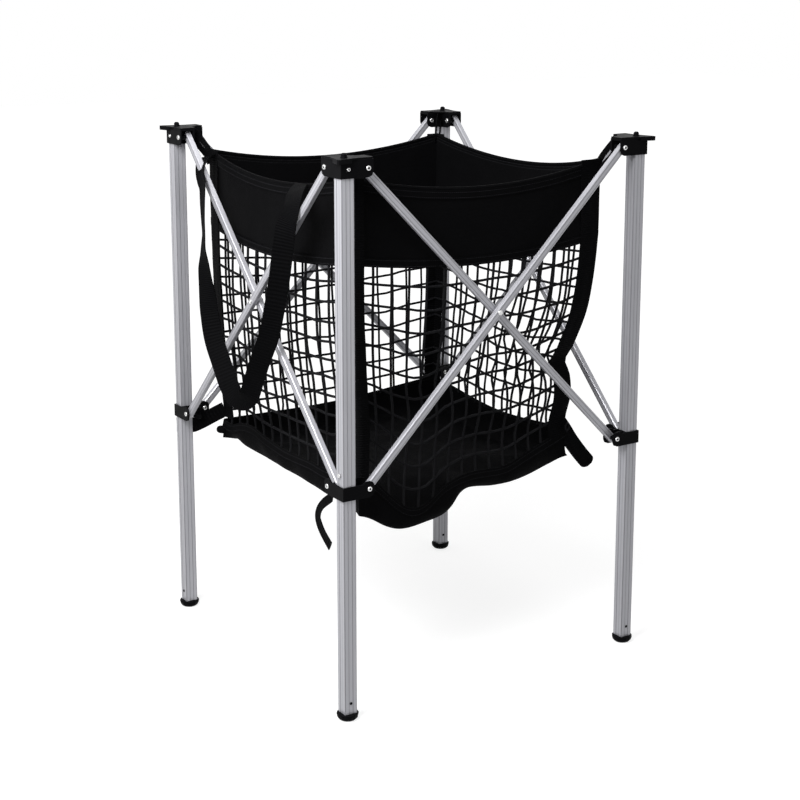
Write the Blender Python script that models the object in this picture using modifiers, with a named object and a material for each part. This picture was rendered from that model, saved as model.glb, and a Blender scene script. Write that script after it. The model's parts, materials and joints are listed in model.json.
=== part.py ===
"""Folding ball cart: four square legs, a pair of crossed bars on every side and a hanging bag.

Lengths are in metres, +Z is up and the origin is on the floor in the middle of the four legs.
Seen from above, the corners go round as front (-X -Y), right (+X -Y), back (+X +Y) and left (-X +Y).
Corner 0 and the side that runs from it along +X are drawn once, and the rest are quarter turns of them.
"""
import math

import bmesh
import bpy
from mathutils import Matrix, Vector

# Frame
LEG_SPACING = 0.640            # leg axis to leg axis with the cart open
BRACKET_TOP = 1.005            # height of the top brackets' upper face
PIN_INSET = 0.039              # bar pin to leg axis, along a side
TOP_PIN_DROP = 0.0155          # bar pin below the top of its bracket
SLIDER_PIN_HEIGHT = 0.4275     # bar pin of the sliders with the cart open
RUNNING_GAP = 0.0003           # clearance between pieces that touch
MERGE_DISTANCE = 0.00001       # points this close are one

# Legs
LEG_WIDTH = 0.025
LEG_WALL = 0.0015
LEG_CORNER_RADIUS = 0.0012
LEG_GROOVE_WIDTH = 0.008
LEG_GROOVE_DEPTH = 0.0005

# Feet
FOOT_HEIGHT = 0.014            # floor to the end of the leg
FOOT_RADIUS = 0.020
FOOT_FLAT_RADIUS = 0.010
FOOT_RIM = 0.003
FOOT_CHAMFER = 0.001
FOOT_PLUG_LENGTH = 0.028
FOOT_PLUG_WALL = 0.002
FOOT_RIVET_HEIGHT = 0.020      # above the end of the leg

# Brackets and sliders
SLEEVE_WALL = 0.0024
ARM_REACH = 0.0490             # leg axis to the end of an arm
ARM_END_RADIUS = 0.010
CHEEK_THICKNESS = 0.003
BRACKET_HEIGHT = 0.031
BRACKET_WEB = 0.003
BRACKET_PLUG_LENGTH = 0.020
SLIDER_BELOW_PIN = 0.015
SLIDER_ABOVE_PIN = 0.0095
SLIDER_BOSS_ABOVE_PIN = 0.0138
SLIDER_RAMP_START = 0.026      # where an arm starts to rise to its boss, from the leg axis
SLIDER_RAMP_END = 0.031
SLIDER_RAMP_RADIUS = 0.002
SLIDER_BOSS_RADIUS = 0.009

# Cap plates
PLATE_THICKNESS = 0.003
PLATE_TIP = 0.0282             # pointed tip from the leg axis, along each side
PLATE_TIP_RADIUS = 0.004
PLATE_CORNER_RADIUS = 0.002
PLATE_WING_START = 0.020
PLATE_INNER_WEB = 0.020
PLATE_LIP_DEPTH = 0.005
PLATE_LIP_THICKNESS = 0.002
PLATE_LIP_START = 0.004

# Bars
BAR_FACE = 0.0145
BAR_DEPTH = 0.011
BAR_WALL = 0.0012
BAR_CORNER_RADIUS = 0.0015
BAR_END = 0.008                # bar beyond its end pins
BAR_GAP = 0.001                # between the two bars of a side

# Rivets and screws
PIN_RADIUS = 0.0025
PIN_HEAD_RADIUS = 0.0042
PIN_HEAD_HEIGHT = 0.0016
PIN_SHOULDER_RADIUS = 0.0045
CROWN_RADIUS_SHARE = 0.7       # a rivet head's bend, as shares of its radius and height
CROWN_HEIGHT_SHARE = 0.8
SMALL_RIVET_RADIUS = 0.0016
SMALL_HEAD_RADIUS = 0.003
SMALL_HEAD_HEIGHT = 0.0013
SCREW_RADIUS = 0.0025
SCREW_HEAD_RADIUS = 0.0052
SCREW_HEAD_HEIGHT = 0.0062
SCREW_CROWN_RADIUS = 0.0031
SCREW_CROWN_HEIGHT = 0.0025
SCREW_LENGTH = 0.020
WASHER_RADIUS = 0.0065
WASHER_THICKNESS = 0.0012

# Snap buttons
BUTTON_ABOVE_PIN = 0.029
BUTTON_RADIUS = 0.00425
BUTTON_PROUD = 0.0042
BUTTON_TIP_RADIUS = 0.003
BUTTON_TIP_DROP = 0.0005
BUTTON_DOME = 0.0019           # height of its rounded end
BUTTON_FLANGE_RADIUS = 0.006
BUTTON_FLANGE_THICKNESS = 0.0012
SPRING_THICKNESS = 0.0006
SPRING_WIDTH = 0.008
SPRING_LENGTH = 0.024
SPRING_OPENING = 0.012
SPRING_BEND = 0.0024

# Bag
BAG_TO_LEGS = 0.048            # its walls inside the legs' axes
BAG_DROP = 0.042               # its top corners below the brackets' upper face
BAG_TOP_SAG = 0.031            # drop of the top edge in the middle of a side
BAND_HEIGHT = 0.143
BAND_BOTTOM_SAG = 0.020
BAND_THICKNESS = 0.0025
BAG_BULGE = 0.018
BULGE_BELOW_RIM = 0.070        # where the bulge would end, under the base's rim and over the bag's top
BULGE_ABOVE_TOP = 0.097
PINCH_START = 0.190            # the corners draw in from here to there, in heights above the base's rim
PINCH_END = 0.070
CORNER_PINCH = (0.012, 0.036, 0.016, 0.006)
NET_THICKNESS = 0.004
NET_CORD_WIDTH = 0.005
WALL_COLUMNS = 8
NET_ROWS = 5
NET_DEPTH = 0.390              # from the band's lower corners to the base's rim
BASE_THICKNESS = 0.003
BASE_DIVISIONS = 12
BASE_WALL_RINGS = 1
BASE_FLOOR_SCALE = 0.93
BASE_WALL = 0.052              # height of the rim above the floor
BASE_LOBES = (                 # x, y, depth and radius of each sag of the floor
    (-0.150, -0.165, 0.050, 0.110),
    (0.120, -0.150, 0.014, 0.100),
    (-0.130, 0.120, 0.012, 0.110),
    (0.110, 0.120, 0.018, 0.120),
)

# Webbing and straps
WEBBING_WIDTH = 0.018
WEBBING_THICKNESS = 0.002
WEBBING_SEAT = 0.005           # length held under the cap plate
WEBBING_OVERLAP = 0.008        # length that lies over the bag's corner, to each side of it
CARRY_STRAP_WIDTH = 0.038
CARRY_STRAP_THICKNESS = 0.002
CARRY_STRAP_ROUTE = (          # points from between the legs' axes at the bag's top, and where its face looks
    ((0.0427, 0.244, -0.031), (-1, 0, 0)),
    ((0.0419, 0.244, -0.003), (-1, 0, 0)),
    ((0.0280, 0.238, 0.009), (-0.4, -0.2, 0.9)),
    ((0.0060, 0.228, -0.006), (0, -0.7, 0.7)),
    ((-0.0100, 0.206, -0.033), (-0.8, -0.4, 0.4)),
    ((-0.0185, 0.180, -0.073), (-1, 0, 0)),
    ((-0.0205, 0.162, -0.123), (-1, 0, 0)),
    ((-0.0205, 0.156, -0.203), (-1, 0, 0)),
    ((-0.0205, 0.140, -0.303), (-1, 0, 0)),
    ((-0.0205, 0.104, -0.393), (-1, 0, 0)),
    ((-0.0205, 0.050, -0.451), (-1, 0, 0)),
    ((-0.0205, -0.010, -0.408), (-1, 0, 0)),
    ((-0.0205, -0.068, -0.315), (-1, 0, 0)),
    ((-0.0205, -0.118, -0.223), (-1, 0, 0)),
    ((-0.0205, -0.155, -0.143), (-1, 0, 0)),
    ((-0.0205, -0.172, -0.083), (-1, 0, 0)),
    ((-0.0180, -0.170, -0.049), (-1, 0, 0)),
    ((-0.0030, -0.158, -0.026), (-0.8, -0.3, 0.5)),
    ((0.0200, -0.138, -0.019), (-0.8, -0.3, 0.5)),
    ((0.0376, -0.119, -0.023), (-1, 0, 0)),
)
TIE_THICKNESS = 0.002
TIE_LOOP_HEIGHT = 0.024
TIE_BELOW_SLIDER = 0.0095
TIE_WIDTH = 0.038
TIE_ABOVE_RIM = 0.006          # middle of the fastened tie where it meets the bag
RIGHT_TIE_ROUTE = (            # from the bag's corner at the base's rim
    (-0.0080, -0.0036, 0),
    (0.0100, -0.0140, -0.026),
    (0.0280, -0.0200, -0.049),
    (0.0500, -0.0220, -0.070),
)
FRONT_TIE_ROUTE = (
    (0.0074, 0.125, -0.064),
    (-0.0020, 0.132, -0.084),
    (-0.0090, 0.131, -0.112),
    (-0.0140, 0.110, -0.138),
    (-0.0180, 0.077, -0.153),
)
FRONT_TIE_WIDTH = 0.024

# Facets
PIN_STEPS = 8
SMALL_STEPS = 6
FOOT_STEPS = 14
FOOT_DOME_STEPS = 3
ARC_STEPS = 2

# Worked out from the above
HALF = LEG_SPACING / 2
LEG_HALF = LEG_WIDTH / 2
LEG_INNER_HALF = LEG_HALF - LEG_WALL
SLEEVE_INNER = LEG_HALF + RUNNING_GAP
SLEEVE_OUTER = SLEEVE_INNER + SLEEVE_WALL
CHANNEL_HALF = SLEEVE_OUTER - CHEEK_THICKNESS
PLUG_HALF = LEG_INNER_HALF - RUNNING_GAP
BRACKET_BOTTOM = BRACKET_TOP - BRACKET_HEIGHT
TOP_PIN_HEIGHT = BRACKET_TOP - TOP_PIN_DROP
LEG_TOP = BRACKET_TOP - BRACKET_WEB - RUNNING_GAP
PLATE_BOTTOM = BRACKET_TOP + RUNNING_GAP
PLATE_TOP = PLATE_BOTTOM + PLATE_THICKNESS
PIN_HOLE_RADIUS = PIN_RADIUS + RUNNING_GAP
PIN_RUN = LEG_SPACING - 2 * PIN_INSET
PIN_RISE = TOP_PIN_HEIGHT - SLIDER_PIN_HEIGHT
BAR_LENGTH = math.hypot(PIN_RUN, PIN_RISE)
BAR_SLOPE = math.atan2(PIN_RISE, PIN_RUN)
CROSS_HEIGHT = (TOP_PIN_HEIGHT + SLIDER_PIN_HEIGHT) / 2
BAR_OFFSET = (BAR_GAP + BAR_DEPTH) / 2
BUTTON_HEIGHT = SLIDER_PIN_HEIGHT + BUTTON_ABOVE_PIN
BAG_HALF_WIDTH = HALF - BAG_TO_LEGS
BAG_TOP = BRACKET_TOP - BAG_DROP
BAND_BOTTOM = BAG_TOP - BAND_HEIGHT
BASE_RIM = BAND_BOTTOM - NET_DEPTH
BASE_FLOOR = BASE_RIM - BASE_WALL
TIE_LOOP_CENTRE = SLIDER_PIN_HEIGHT - SLIDER_BELOW_PIN - TIE_BELOW_SLIDER - TIE_LOOP_HEIGHT / 2
TIE_BAG_HEIGHT = BASE_RIM + TIE_ABOVE_RIM

CORNERS = ("front", "right", "back", "left")
SIDES = ("front_right", "right_back", "back_left", "left_front")
CORNER = Vector((-HALF, -HALF, 0))
BUTTON_TURNS = (2, 0, 0, 1)    # quarter turns of each corner's snap button from +X
QUARTER = math.pi / 2

# Turned rivets point along +Z, and these set that end outwards on the arms along +X and +Y
OUT_OF_X_ARM = Matrix.Rotation(QUARTER, 4, 'X')
OUT_OF_Y_ARM = Matrix.Rotation(-QUARTER, 4, 'Y')


def clear_scene():
    for item in list(bpy.data.objects):
        bpy.data.objects.remove(item)


def new_collection(name):
    collection = bpy.data.collections.new(name)
    bpy.context.scene.collection.children.link(collection)
    return collection


def new_material(name, color, roughness, metallic):
    material = bpy.data.materials.new(name)
    material.use_nodes = True
    shader = material.node_tree.nodes["Principled BSDF"]
    shader.inputs["Base Color"].default_value = (*color, 1)
    shader.inputs["Roughness"].default_value = roughness
    shader.inputs["Metallic"].default_value = metallic
    return material


def mesh_from_bmesh(bm):
    mesh = bpy.data.meshes.new("shape")
    bm.to_mesh(mesh)
    bm.free()
    return mesh


def evaluated_mesh(item):
    """Mesh of an object after its modifiers, without the object."""
    graph = bpy.context.evaluated_depsgraph_get()
    mesh = bpy.data.meshes.new_from_object(item.evaluated_get(graph))
    bpy.data.objects.remove(item)
    return mesh


def guide_object(name, data):
    """Object that only shapes a part, in the cutters' collection."""
    item = bpy.data.objects.new(name, data)
    cutters.objects.link(item)
    item.hide_render = True
    item.display_type = 'WIRE'
    return item


def box(low, high):
    """Box between two opposite corners."""
    low = Vector(low)
    high = Vector(high)
    bm = bmesh.new()
    bmesh.ops.create_cube(bm, size=1)
    bmesh.ops.scale(bm, vec=high - low, verts=bm.verts)
    bmesh.ops.translate(bm, vec=(low + high) / 2, verts=bm.verts)
    return mesh_from_bmesh(bm)


def cylinder(radius, start, end, steps=PIN_STEPS):
    """Cylinder between two points."""
    axis = Vector(end) - Vector(start)
    bm = bmesh.new()
    bmesh.ops.create_cone(bm, cap_ends=True, segments=steps, radius1=radius, radius2=radius, depth=axis.length)
    aim = axis.to_track_quat('Z', 'Y').to_matrix().to_4x4()
    middle = (Vector(start) + Vector(end)) / 2
    bmesh.ops.transform(bm, matrix=Matrix.Translation(middle) @ aim, verts=bm.verts)
    return mesh_from_bmesh(bm)


def turned(profile, steps, closed=False):
    """Solid turned about Z from (radius, height) points that run down its outer side."""
    bm = bmesh.new()
    points = [bm.verts.new((radius, 0, height)) for radius, height in profile]
    for first, second in zip(points, points[1:]):
        bm.edges.new((first, second))
    if closed:
        bm.edges.new((points[-1], points[0]))
    item = guide_object("profile", mesh_from_bmesh(bm))
    screw = item.modifiers.new("turn", 'SCREW')
    screw.angle = 2 * math.pi
    screw.steps = steps
    screw.render_steps = steps
    screw.use_merge_vertices = True
    screw.merge_threshold = MERGE_DISTANCE
    return evaluated_mesh(item)


def filleted(corners, steps=ARC_STEPS):
    """Closed outline through (x, y, radius) corners, with each radius drawn as an arc."""
    outline = []
    for index, (x, y, radius) in enumerate(corners):
        corner = Vector((x, y))
        if radius == 0:
            outline.append(corner)
            continue
        before = (Vector(corners[index - 1][:2]) - corner).normalized()
        after = (Vector(corners[(index + 1) % len(corners)][:2]) - corner).normalized()
        half_angle = before.angle(after) / 2
        centre = corner + (before + after).normalized() * radius / math.sin(half_angle)
        start = corner + before * radius / math.tan(half_angle) - centre
        sweep = math.pi - 2 * half_angle
        if before.cross(after) > 0:
            sweep = -sweep
        for step in range(steps + 1):
            outline.append(centre + Matrix.Rotation(sweep * step / steps, 2) @ start)
    return outline


def slab(loops, low, high):
    """Flat outline, with holes as further loops, from one height to another."""
    curve = bpy.data.curves.new("outline", 'CURVE')
    curve.dimensions = '2D'
    curve.fill_mode = 'BOTH'
    curve.extrude = (high - low) / 2
    for loop in loops:
        spline = curve.splines.new('POLY')
        spline.points.add(len(loop) - 1)
        spline.use_cyclic_u = True
        for point, place in zip(spline.points, loop):
            point.co = (place[0], place[1], 0, 1)
    mesh = evaluated_mesh(guide_object("outline", curve))
    bm = bmesh.new()
    bm.from_mesh(mesh)
    bmesh.ops.remove_doubles(bm, verts=bm.verts, dist=MERGE_DISTANCE)
    bmesh.ops.translate(bm, vec=(0, 0, (low + high) / 2), verts=bm.verts)
    bmesh.ops.recalc_face_normals(bm, faces=bm.faces)
    return mesh_from_bmesh(bm)


def moved(mesh, matrix):
    """Copy of a mesh, moved and turned."""
    copy = mesh.copy()
    copy.transform(matrix)
    return copy


def carved(mesh, *steps):
    """Mesh after ('UNION' or 'DIFFERENCE', other mesh) steps."""
    item = guide_object("blank", mesh)
    for operation, other in steps:
        modifier = item.modifiers.new(operation.lower(), 'BOOLEAN')
        modifier.operation = operation
        modifier.solver = 'EXACT'
        modifier.object = guide_object("cutter", other)
    return evaluated_mesh(item)


def thickened(bm, thickness):
    """Open surface made a wall with the surface in its middle."""
    item = guide_object("sheet", mesh_from_bmesh(bm))
    solidify = item.modifiers.new("wall", 'SOLIDIFY')
    solidify.thickness = thickness
    solidify.offset = 0
    mesh = evaluated_mesh(item)
    bm = bmesh.new()
    bm.from_mesh(mesh)
    bmesh.ops.recalc_face_normals(bm, faces=bm.faces)
    return mesh_from_bmesh(bm)


def smooth_route(points, spans=2):
    """Points on a smooth curve through the given ones."""
    route = []
    points = [Vector(point) for point in points]
    padded = [2 * points[0] - points[1], *points, 2 * points[-1] - points[-2]]
    for before, start, end, after in zip(padded, padded[1:], padded[2:], padded[3:]):
        for span in range(spans):
            t = span / spans
            route.append(0.5 * (2 * start + (end - before) * t
                                + (2 * before - 5 * start + 4 * end - after) * t * t
                                + (3 * start - before - 3 * end + after) * t * t * t))
    return [*route, points[-1]]


def strap(points, width, thickness, faces):
    """Flat webbing along a route, lying square to the direction that its face looks in at each point."""
    bm = bmesh.new()
    edge_pairs = []
    for index, (point, face) in enumerate(zip(points, faces)):
        ahead = points[min(index + 1, len(points) - 1)]
        behind = points[max(index - 1, 0)]
        across = (ahead - behind).cross(face).normalized() * width / 2
        edge_pairs.append((bm.verts.new(point - across), bm.verts.new(point + across)))
    for (first, second), (third, fourth) in zip(edge_pairs, edge_pairs[1:]):
        bm.faces.new((first, second, fourth, third))
    return thickened(bm, thickness)


def place(name, mesh, material, origin=(0, 0, 0), turns=0):
    """Part with this mesh, moved to its origin and then turned round the cart by quarter turns."""
    part = bpy.data.objects.new(name, mesh.copy())
    part.data.name = name
    part.data.materials.clear()
    part.data.materials.append(material)
    part.matrix_world = Matrix.Rotation(turns * QUARTER, 4, 'Z') @ Matrix.Translation(origin)
    cart.objects.link(part)
    return part


def leg_section():
    """Outline of the leg's extrusion: rounded corners and a shallow groove along each face."""
    corners = []
    for quarter in range(4):
        turn = Matrix.Rotation(quarter * QUARTER, 2)
        face = (
            (LEG_HALF, -LEG_HALF, LEG_CORNER_RADIUS),
            (LEG_HALF, -LEG_GROOVE_WIDTH / 2, 0),
            (LEG_HALF - LEG_GROOVE_DEPTH, -LEG_GROOVE_WIDTH / 2 + LEG_GROOVE_DEPTH, 0),
            (LEG_HALF - LEG_GROOVE_DEPTH, LEG_GROOVE_WIDTH / 2 - LEG_GROOVE_DEPTH, 0),
            (LEG_HALF, LEG_GROOVE_WIDTH / 2, 0),
        )
        for x, y, radius in face:
            corners.append((*(turn @ Vector((x, y))), radius))
    return filleted(corners, steps=2)


def square(half):
    return [(half, -half), (half, half), (-half, half), (-half, -half)]


def radial_hole(radius, turns, height, near, far, steps=SMALL_STEPS):
    """Cutter for a hole that looks in a direction given by quarter turns from +X."""
    direction = Matrix.Rotation(turns * QUARTER, 3, 'Z') @ Vector((1, 0, 0))
    lift = Vector((0, 0, height))
    return cylinder(radius, direction * near + lift, direction * far + lift, steps)


def build_leg(corner):
    """Square tube with holes for its snap button, foot rivets and bracket rivet."""
    tube = slab([leg_section(), square(LEG_INNER_HALF)], FOOT_HEIGHT, LEG_TOP)
    button_turns = BUTTON_TURNS[corner]
    rivet_hole = SMALL_RIVET_RADIUS + RUNNING_GAP
    foot_rivet = FOOT_HEIGHT + FOOT_RIVET_HEIGHT
    inside = LEG_INNER_HALF / 2
    return carved(
        tube,
        ('DIFFERENCE', radial_hole(BUTTON_RADIUS + RUNNING_GAP, button_turns, BUTTON_HEIGHT,
                                   inside, LEG_WIDTH, PIN_STEPS)),
        ('DIFFERENCE', radial_hole(rivet_hole, button_turns + 1, foot_rivet, -LEG_WIDTH, LEG_WIDTH)),
        ('DIFFERENCE', radial_hole(rivet_hole, corner - 1, TOP_PIN_HEIGHT, inside, LEG_WIDTH)),
    )


def build_foot(corner):
    """Domed foot with a hollow plug that fits inside the leg."""
    top = FOOT_HEIGHT - RUNNING_GAP
    dome_height = top - FOOT_RIM
    profile = [(0, top), (FOOT_RADIUS - FOOT_CHAMFER, top), (FOOT_RADIUS, top - FOOT_CHAMFER)]
    for step in range(FOOT_DOME_STEPS + 1):
        angle = QUARTER * step / FOOT_DOME_STEPS
        radius = FOOT_FLAT_RADIUS + (FOOT_RADIUS - FOOT_FLAT_RADIUS) * math.cos(angle)
        profile.append((radius, dome_height * (1 - math.sin(angle))))
    profile.append((0, 0))
    plug_inner = PLUG_HALF - FOOT_PLUG_WALL
    plug_top = FOOT_HEIGHT + FOOT_PLUG_LENGTH
    rivet_seat = LEG_HALF - LEG_GROOVE_DEPTH + RUNNING_GAP
    rivet_depth = rivet_seat - plug_inner
    rivet_height = FOOT_HEIGHT + FOOT_RIVET_HEIGHT
    rivet_turns = BUTTON_TURNS[corner] + 1
    return carved(
        turned(profile, FOOT_STEPS),
        ('UNION', box((-PLUG_HALF, -PLUG_HALF, dome_height), (PLUG_HALF, PLUG_HALF, plug_top))),
        ('DIFFERENCE', box((-plug_inner, -plug_inner, FOOT_HEIGHT), (plug_inner, plug_inner, 2 * plug_top))),
        ('UNION', small_rivet(rivet_seat, rivet_depth, rivet_turns, rivet_height)),
        ('UNION', small_rivet(rivet_seat, rivet_depth, rivet_turns + 2, rivet_height)),
    )


def two_arms(profile):
    """Corner moulding with the same side view along +X and +Y."""
    along_x = moved(slab([profile], -SLEEVE_OUTER, SLEEVE_OUTER), Matrix.Rotation(QUARTER, 4, 'X'))
    along_y = moved(along_x, Matrix.Rotation(QUARTER, 4, 'Z'))
    return carved(along_x, ('UNION', along_y))


def arm_steps(low, high, pin_height, x_arm_bar_outside):
    """Steps that open the bar channels of both arms and set their riveted pins across them.

    On each pin a shoulder fills the half of the channel that the bar leaves.
    """
    channel = box((SLEEVE_OUTER, -CHANNEL_HALF, low), (2 * ARM_REACH, CHANNEL_HALF, high))
    near = -BAR_GAP / 2 + RUNNING_GAP
    far = CHANNEL_HALF - RUNNING_GAP
    bar_outside = turned(pin_profile(SLEEVE_OUTER, (-far, -near)), PIN_STEPS)
    bar_inside = turned(pin_profile(SLEEVE_OUTER, (near, far)), PIN_STEPS)
    on_x, on_y = (bar_outside, bar_inside) if x_arm_bar_outside else (bar_inside, bar_outside)
    return [
        ('DIFFERENCE', channel),
        ('DIFFERENCE', moved(channel, Matrix.Rotation(QUARTER, 4, 'Z'))),
        ('UNION', moved(on_x, Matrix.Translation((PIN_INSET, 0, pin_height)) @ OUT_OF_X_ARM)),
        ('UNION', moved(on_y, Matrix.Translation((0, PIN_INSET, pin_height)) @ OUT_OF_Y_ARM)),
    ]


def build_bracket():
    """Top bracket: a cap over the leg's end with a plug inside it, and a forked arm along each side."""
    profile = filleted([
        (-SLEEVE_OUTER, BRACKET_BOTTOM, 0),
        (ARM_REACH, BRACKET_BOTTOM, ARM_END_RADIUS),
        (ARM_REACH, BRACKET_TOP, 0),
        (-SLEEVE_OUTER, BRACKET_TOP, 0),
    ])
    below = BRACKET_BOTTOM - BRACKET_HEIGHT
    web_bottom = BRACKET_TOP - BRACKET_WEB
    plug_bottom = web_bottom - BRACKET_PLUG_LENGTH
    socket = box((-SLEEVE_INNER, -SLEEVE_INNER, below), (SLEEVE_INNER, SLEEVE_INNER, web_bottom))
    plug = box((-PLUG_HALF, -PLUG_HALF, plug_bottom), (PLUG_HALF, PLUG_HALF, BRACKET_TOP))
    screw = cylinder(SCREW_RADIUS + RUNNING_GAP, (0, 0, below), (0, 0, 2 * BRACKET_TOP))
    return carved(
        two_arms(profile),
        ('DIFFERENCE', socket),
        ('UNION', plug),
        *arm_steps(below, web_bottom, TOP_PIN_HEIGHT, x_arm_bar_outside=False),
        ('UNION', small_rivet(SLEEVE_OUTER, SLEEVE_OUTER - PLUG_HALF / 2, -1, TOP_PIN_HEIGHT)),
        ('DIFFERENCE', screw),
    )


def build_slider():
    """Slider: a sleeve on the leg with a forked arm along each side that rises to a boss at its pin."""
    low = SLIDER_PIN_HEIGHT - SLIDER_BELOW_PIN
    high = SLIDER_PIN_HEIGHT + SLIDER_ABOVE_PIN
    boss = SLIDER_PIN_HEIGHT + SLIDER_BOSS_ABOVE_PIN
    profile = filleted([
        (-SLEEVE_OUTER, low, 0),
        (ARM_REACH, low, ARM_END_RADIUS),
        (ARM_REACH, boss, SLIDER_BOSS_RADIUS),
        (SLIDER_RAMP_END, boss, SLIDER_RAMP_RADIUS),
        (SLIDER_RAMP_START, high, 0),
        (-SLEEVE_OUTER, high, 0),
    ])
    bore = box((-SLEEVE_INNER, -SLEEVE_INNER, 0), (SLEEVE_INNER, SLEEVE_INNER, 2 * boss))
    arms = arm_steps(0, 2 * boss, SLIDER_PIN_HEIGHT, x_arm_bar_outside=True)
    return carved(two_arms(profile), ('DIFFERENCE', bore), *arms)


def wing_edge(x):
    """Edge of the cap plate's wing on the side along +X."""
    share = (PLATE_WING_START - x) / (PLATE_WING_START + PLATE_TIP)
    return -SLEEVE_OUTER - share * (PLATE_TIP - SLEEVE_OUTER)


def build_cap_plate():
    """Thin plate over the bracket, with a pointed wing that looks outwards and a lip under its edge."""
    inner = SLEEVE_OUTER + PLATE_INNER_WEB
    outline = filleted([
        (PLATE_WING_START, -SLEEVE_OUTER, 0),
        (ARM_REACH, -SLEEVE_OUTER, PLATE_CORNER_RADIUS),
        (ARM_REACH, SLEEVE_OUTER, PLATE_CORNER_RADIUS),
        (inner, SLEEVE_OUTER, PLATE_CORNER_RADIUS),
        (SLEEVE_OUTER, inner, PLATE_CORNER_RADIUS),
        (SLEEVE_OUTER, ARM_REACH, PLATE_CORNER_RADIUS),
        (-SLEEVE_OUTER, ARM_REACH, PLATE_CORNER_RADIUS),
        (-SLEEVE_OUTER, PLATE_WING_START, 0),
        (-PLATE_TIP, -PLATE_TIP, PLATE_TIP_RADIUS),
    ])
    lip_edge = wing_edge(PLATE_LIP_START)
    inner_tip = -PLATE_TIP + 2 * PLATE_LIP_THICKNESS
    lip_outline = filleted([
        (PLATE_LIP_START, lip_edge, 0),
        (PLATE_LIP_START, lip_edge + PLATE_LIP_THICKNESS, 0),
        (inner_tip, inner_tip, PLATE_TIP_RADIUS - PLATE_LIP_THICKNESS),
        (lip_edge + PLATE_LIP_THICKNESS, PLATE_LIP_START, 0),
        (lip_edge, PLATE_LIP_START, 0),
        (-PLATE_TIP, -PLATE_TIP, PLATE_TIP_RADIUS),
    ])
    lip = slab([lip_outline], PLATE_BOTTOM - PLATE_LIP_DEPTH, PLATE_BOTTOM + PLATE_THICKNESS / 2)
    screw = cylinder(SCREW_RADIUS + RUNNING_GAP, (0, 0, 0), (0, 0, 2 * PLATE_TOP))
    return carved(slab([outline], PLATE_BOTTOM, PLATE_TOP), ('UNION', lip), ('DIFFERENCE', screw))


def rivet_head(radius, height, base):
    """Head profile from its crown down to its seat."""
    bend = (radius * CROWN_RADIUS_SHARE, base + height * CROWN_HEIGHT_SHARE)
    return [(0, base + height), bend, (radius, base)]


def pin_profile(grip, shoulder=None):
    """Pin with a head at each end, and a shoulder between two heights where a bar leaves room beside it."""
    profile = rivet_head(PIN_HEAD_RADIUS, PIN_HEAD_HEIGHT, grip)
    profile.append((PIN_RADIUS, grip))
    if shoulder:
        low, high = shoulder
        profile += [(PIN_RADIUS, high), (PIN_SHOULDER_RADIUS, high), (PIN_SHOULDER_RADIUS, low), (PIN_RADIUS, low)]
    far_head = [(radius, -height) for radius, height in reversed(rivet_head(PIN_HEAD_RADIUS, PIN_HEAD_HEIGHT, grip))]
    return [*profile, (PIN_RADIUS, -grip), *far_head]


def small_rivet(seat, depth, turns, height):
    """Blind rivet with its head on a face at this distance from the leg's axis."""
    profile = rivet_head(SMALL_HEAD_RADIUS, SMALL_HEAD_HEIGHT, seat)
    profile += [(SMALL_RIVET_RADIUS, seat), (SMALL_RIVET_RADIUS, seat - depth), (0, seat - depth)]
    aim = Matrix.Rotation(turns * QUARTER, 4, 'Z') @ Matrix.Rotation(QUARTER, 4, 'Y')
    return moved(turned(profile, SMALL_STEPS), Matrix.Translation((0, 0, height)) @ aim)


def build_cap_screw():
    """Button-head screw and its washer, down through the cap plate and the bracket's plug."""
    washer_bottom = PLATE_TOP + RUNNING_GAP
    washer_top = washer_bottom + WASHER_THICKNESS
    head_top = washer_top + SCREW_HEAD_HEIGHT
    screw_bottom = PLATE_TOP - SCREW_LENGTH
    return turned([
        (0, head_top),
        (SCREW_CROWN_RADIUS, head_top),
        (SCREW_HEAD_RADIUS, head_top - SCREW_CROWN_HEIGHT),
        (SCREW_HEAD_RADIUS, washer_top),
        (WASHER_RADIUS, washer_top),
        (WASHER_RADIUS, washer_bottom),
        (SCREW_RADIUS, washer_bottom),
        (SCREW_RADIUS, screw_bottom),
        (0, screw_bottom),
    ], 2 * SMALL_STEPS)


def build_bar():
    """Bar of rectangular tube along X, drilled for its end pins and for the pin where two bars cross."""
    half_face = BAR_FACE / 2
    half_depth = BAR_DEPTH / 2
    outline = filleted([
        (half_face, -half_depth, BAR_CORNER_RADIUS),
        (half_face, half_depth, BAR_CORNER_RADIUS),
        (-half_face, half_depth, BAR_CORNER_RADIUS),
        (-half_face, -half_depth, BAR_CORNER_RADIUS),
    ], steps=1)
    inner_face = half_face - BAR_WALL
    inner_depth = half_depth - BAR_WALL
    bore = [
        (inner_face, -inner_depth),
        (inner_face, inner_depth),
        (-inner_face, inner_depth),
        (-inner_face, -inner_depth),
    ]
    reach = BAR_LENGTH / 2 + BAR_END
    tube = moved(slab([outline, bore], -reach, reach), Matrix.Rotation(QUARTER, 4, 'Y'))
    pins = (-BAR_LENGTH / 2, 0, BAR_LENGTH / 2)
    holes = [cylinder(PIN_HOLE_RADIUS, (x, -BAR_DEPTH, 0), (x, BAR_DEPTH, 0)) for x in pins]
    return carved(tube, *[('DIFFERENCE', hole) for hole in holes])


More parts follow.
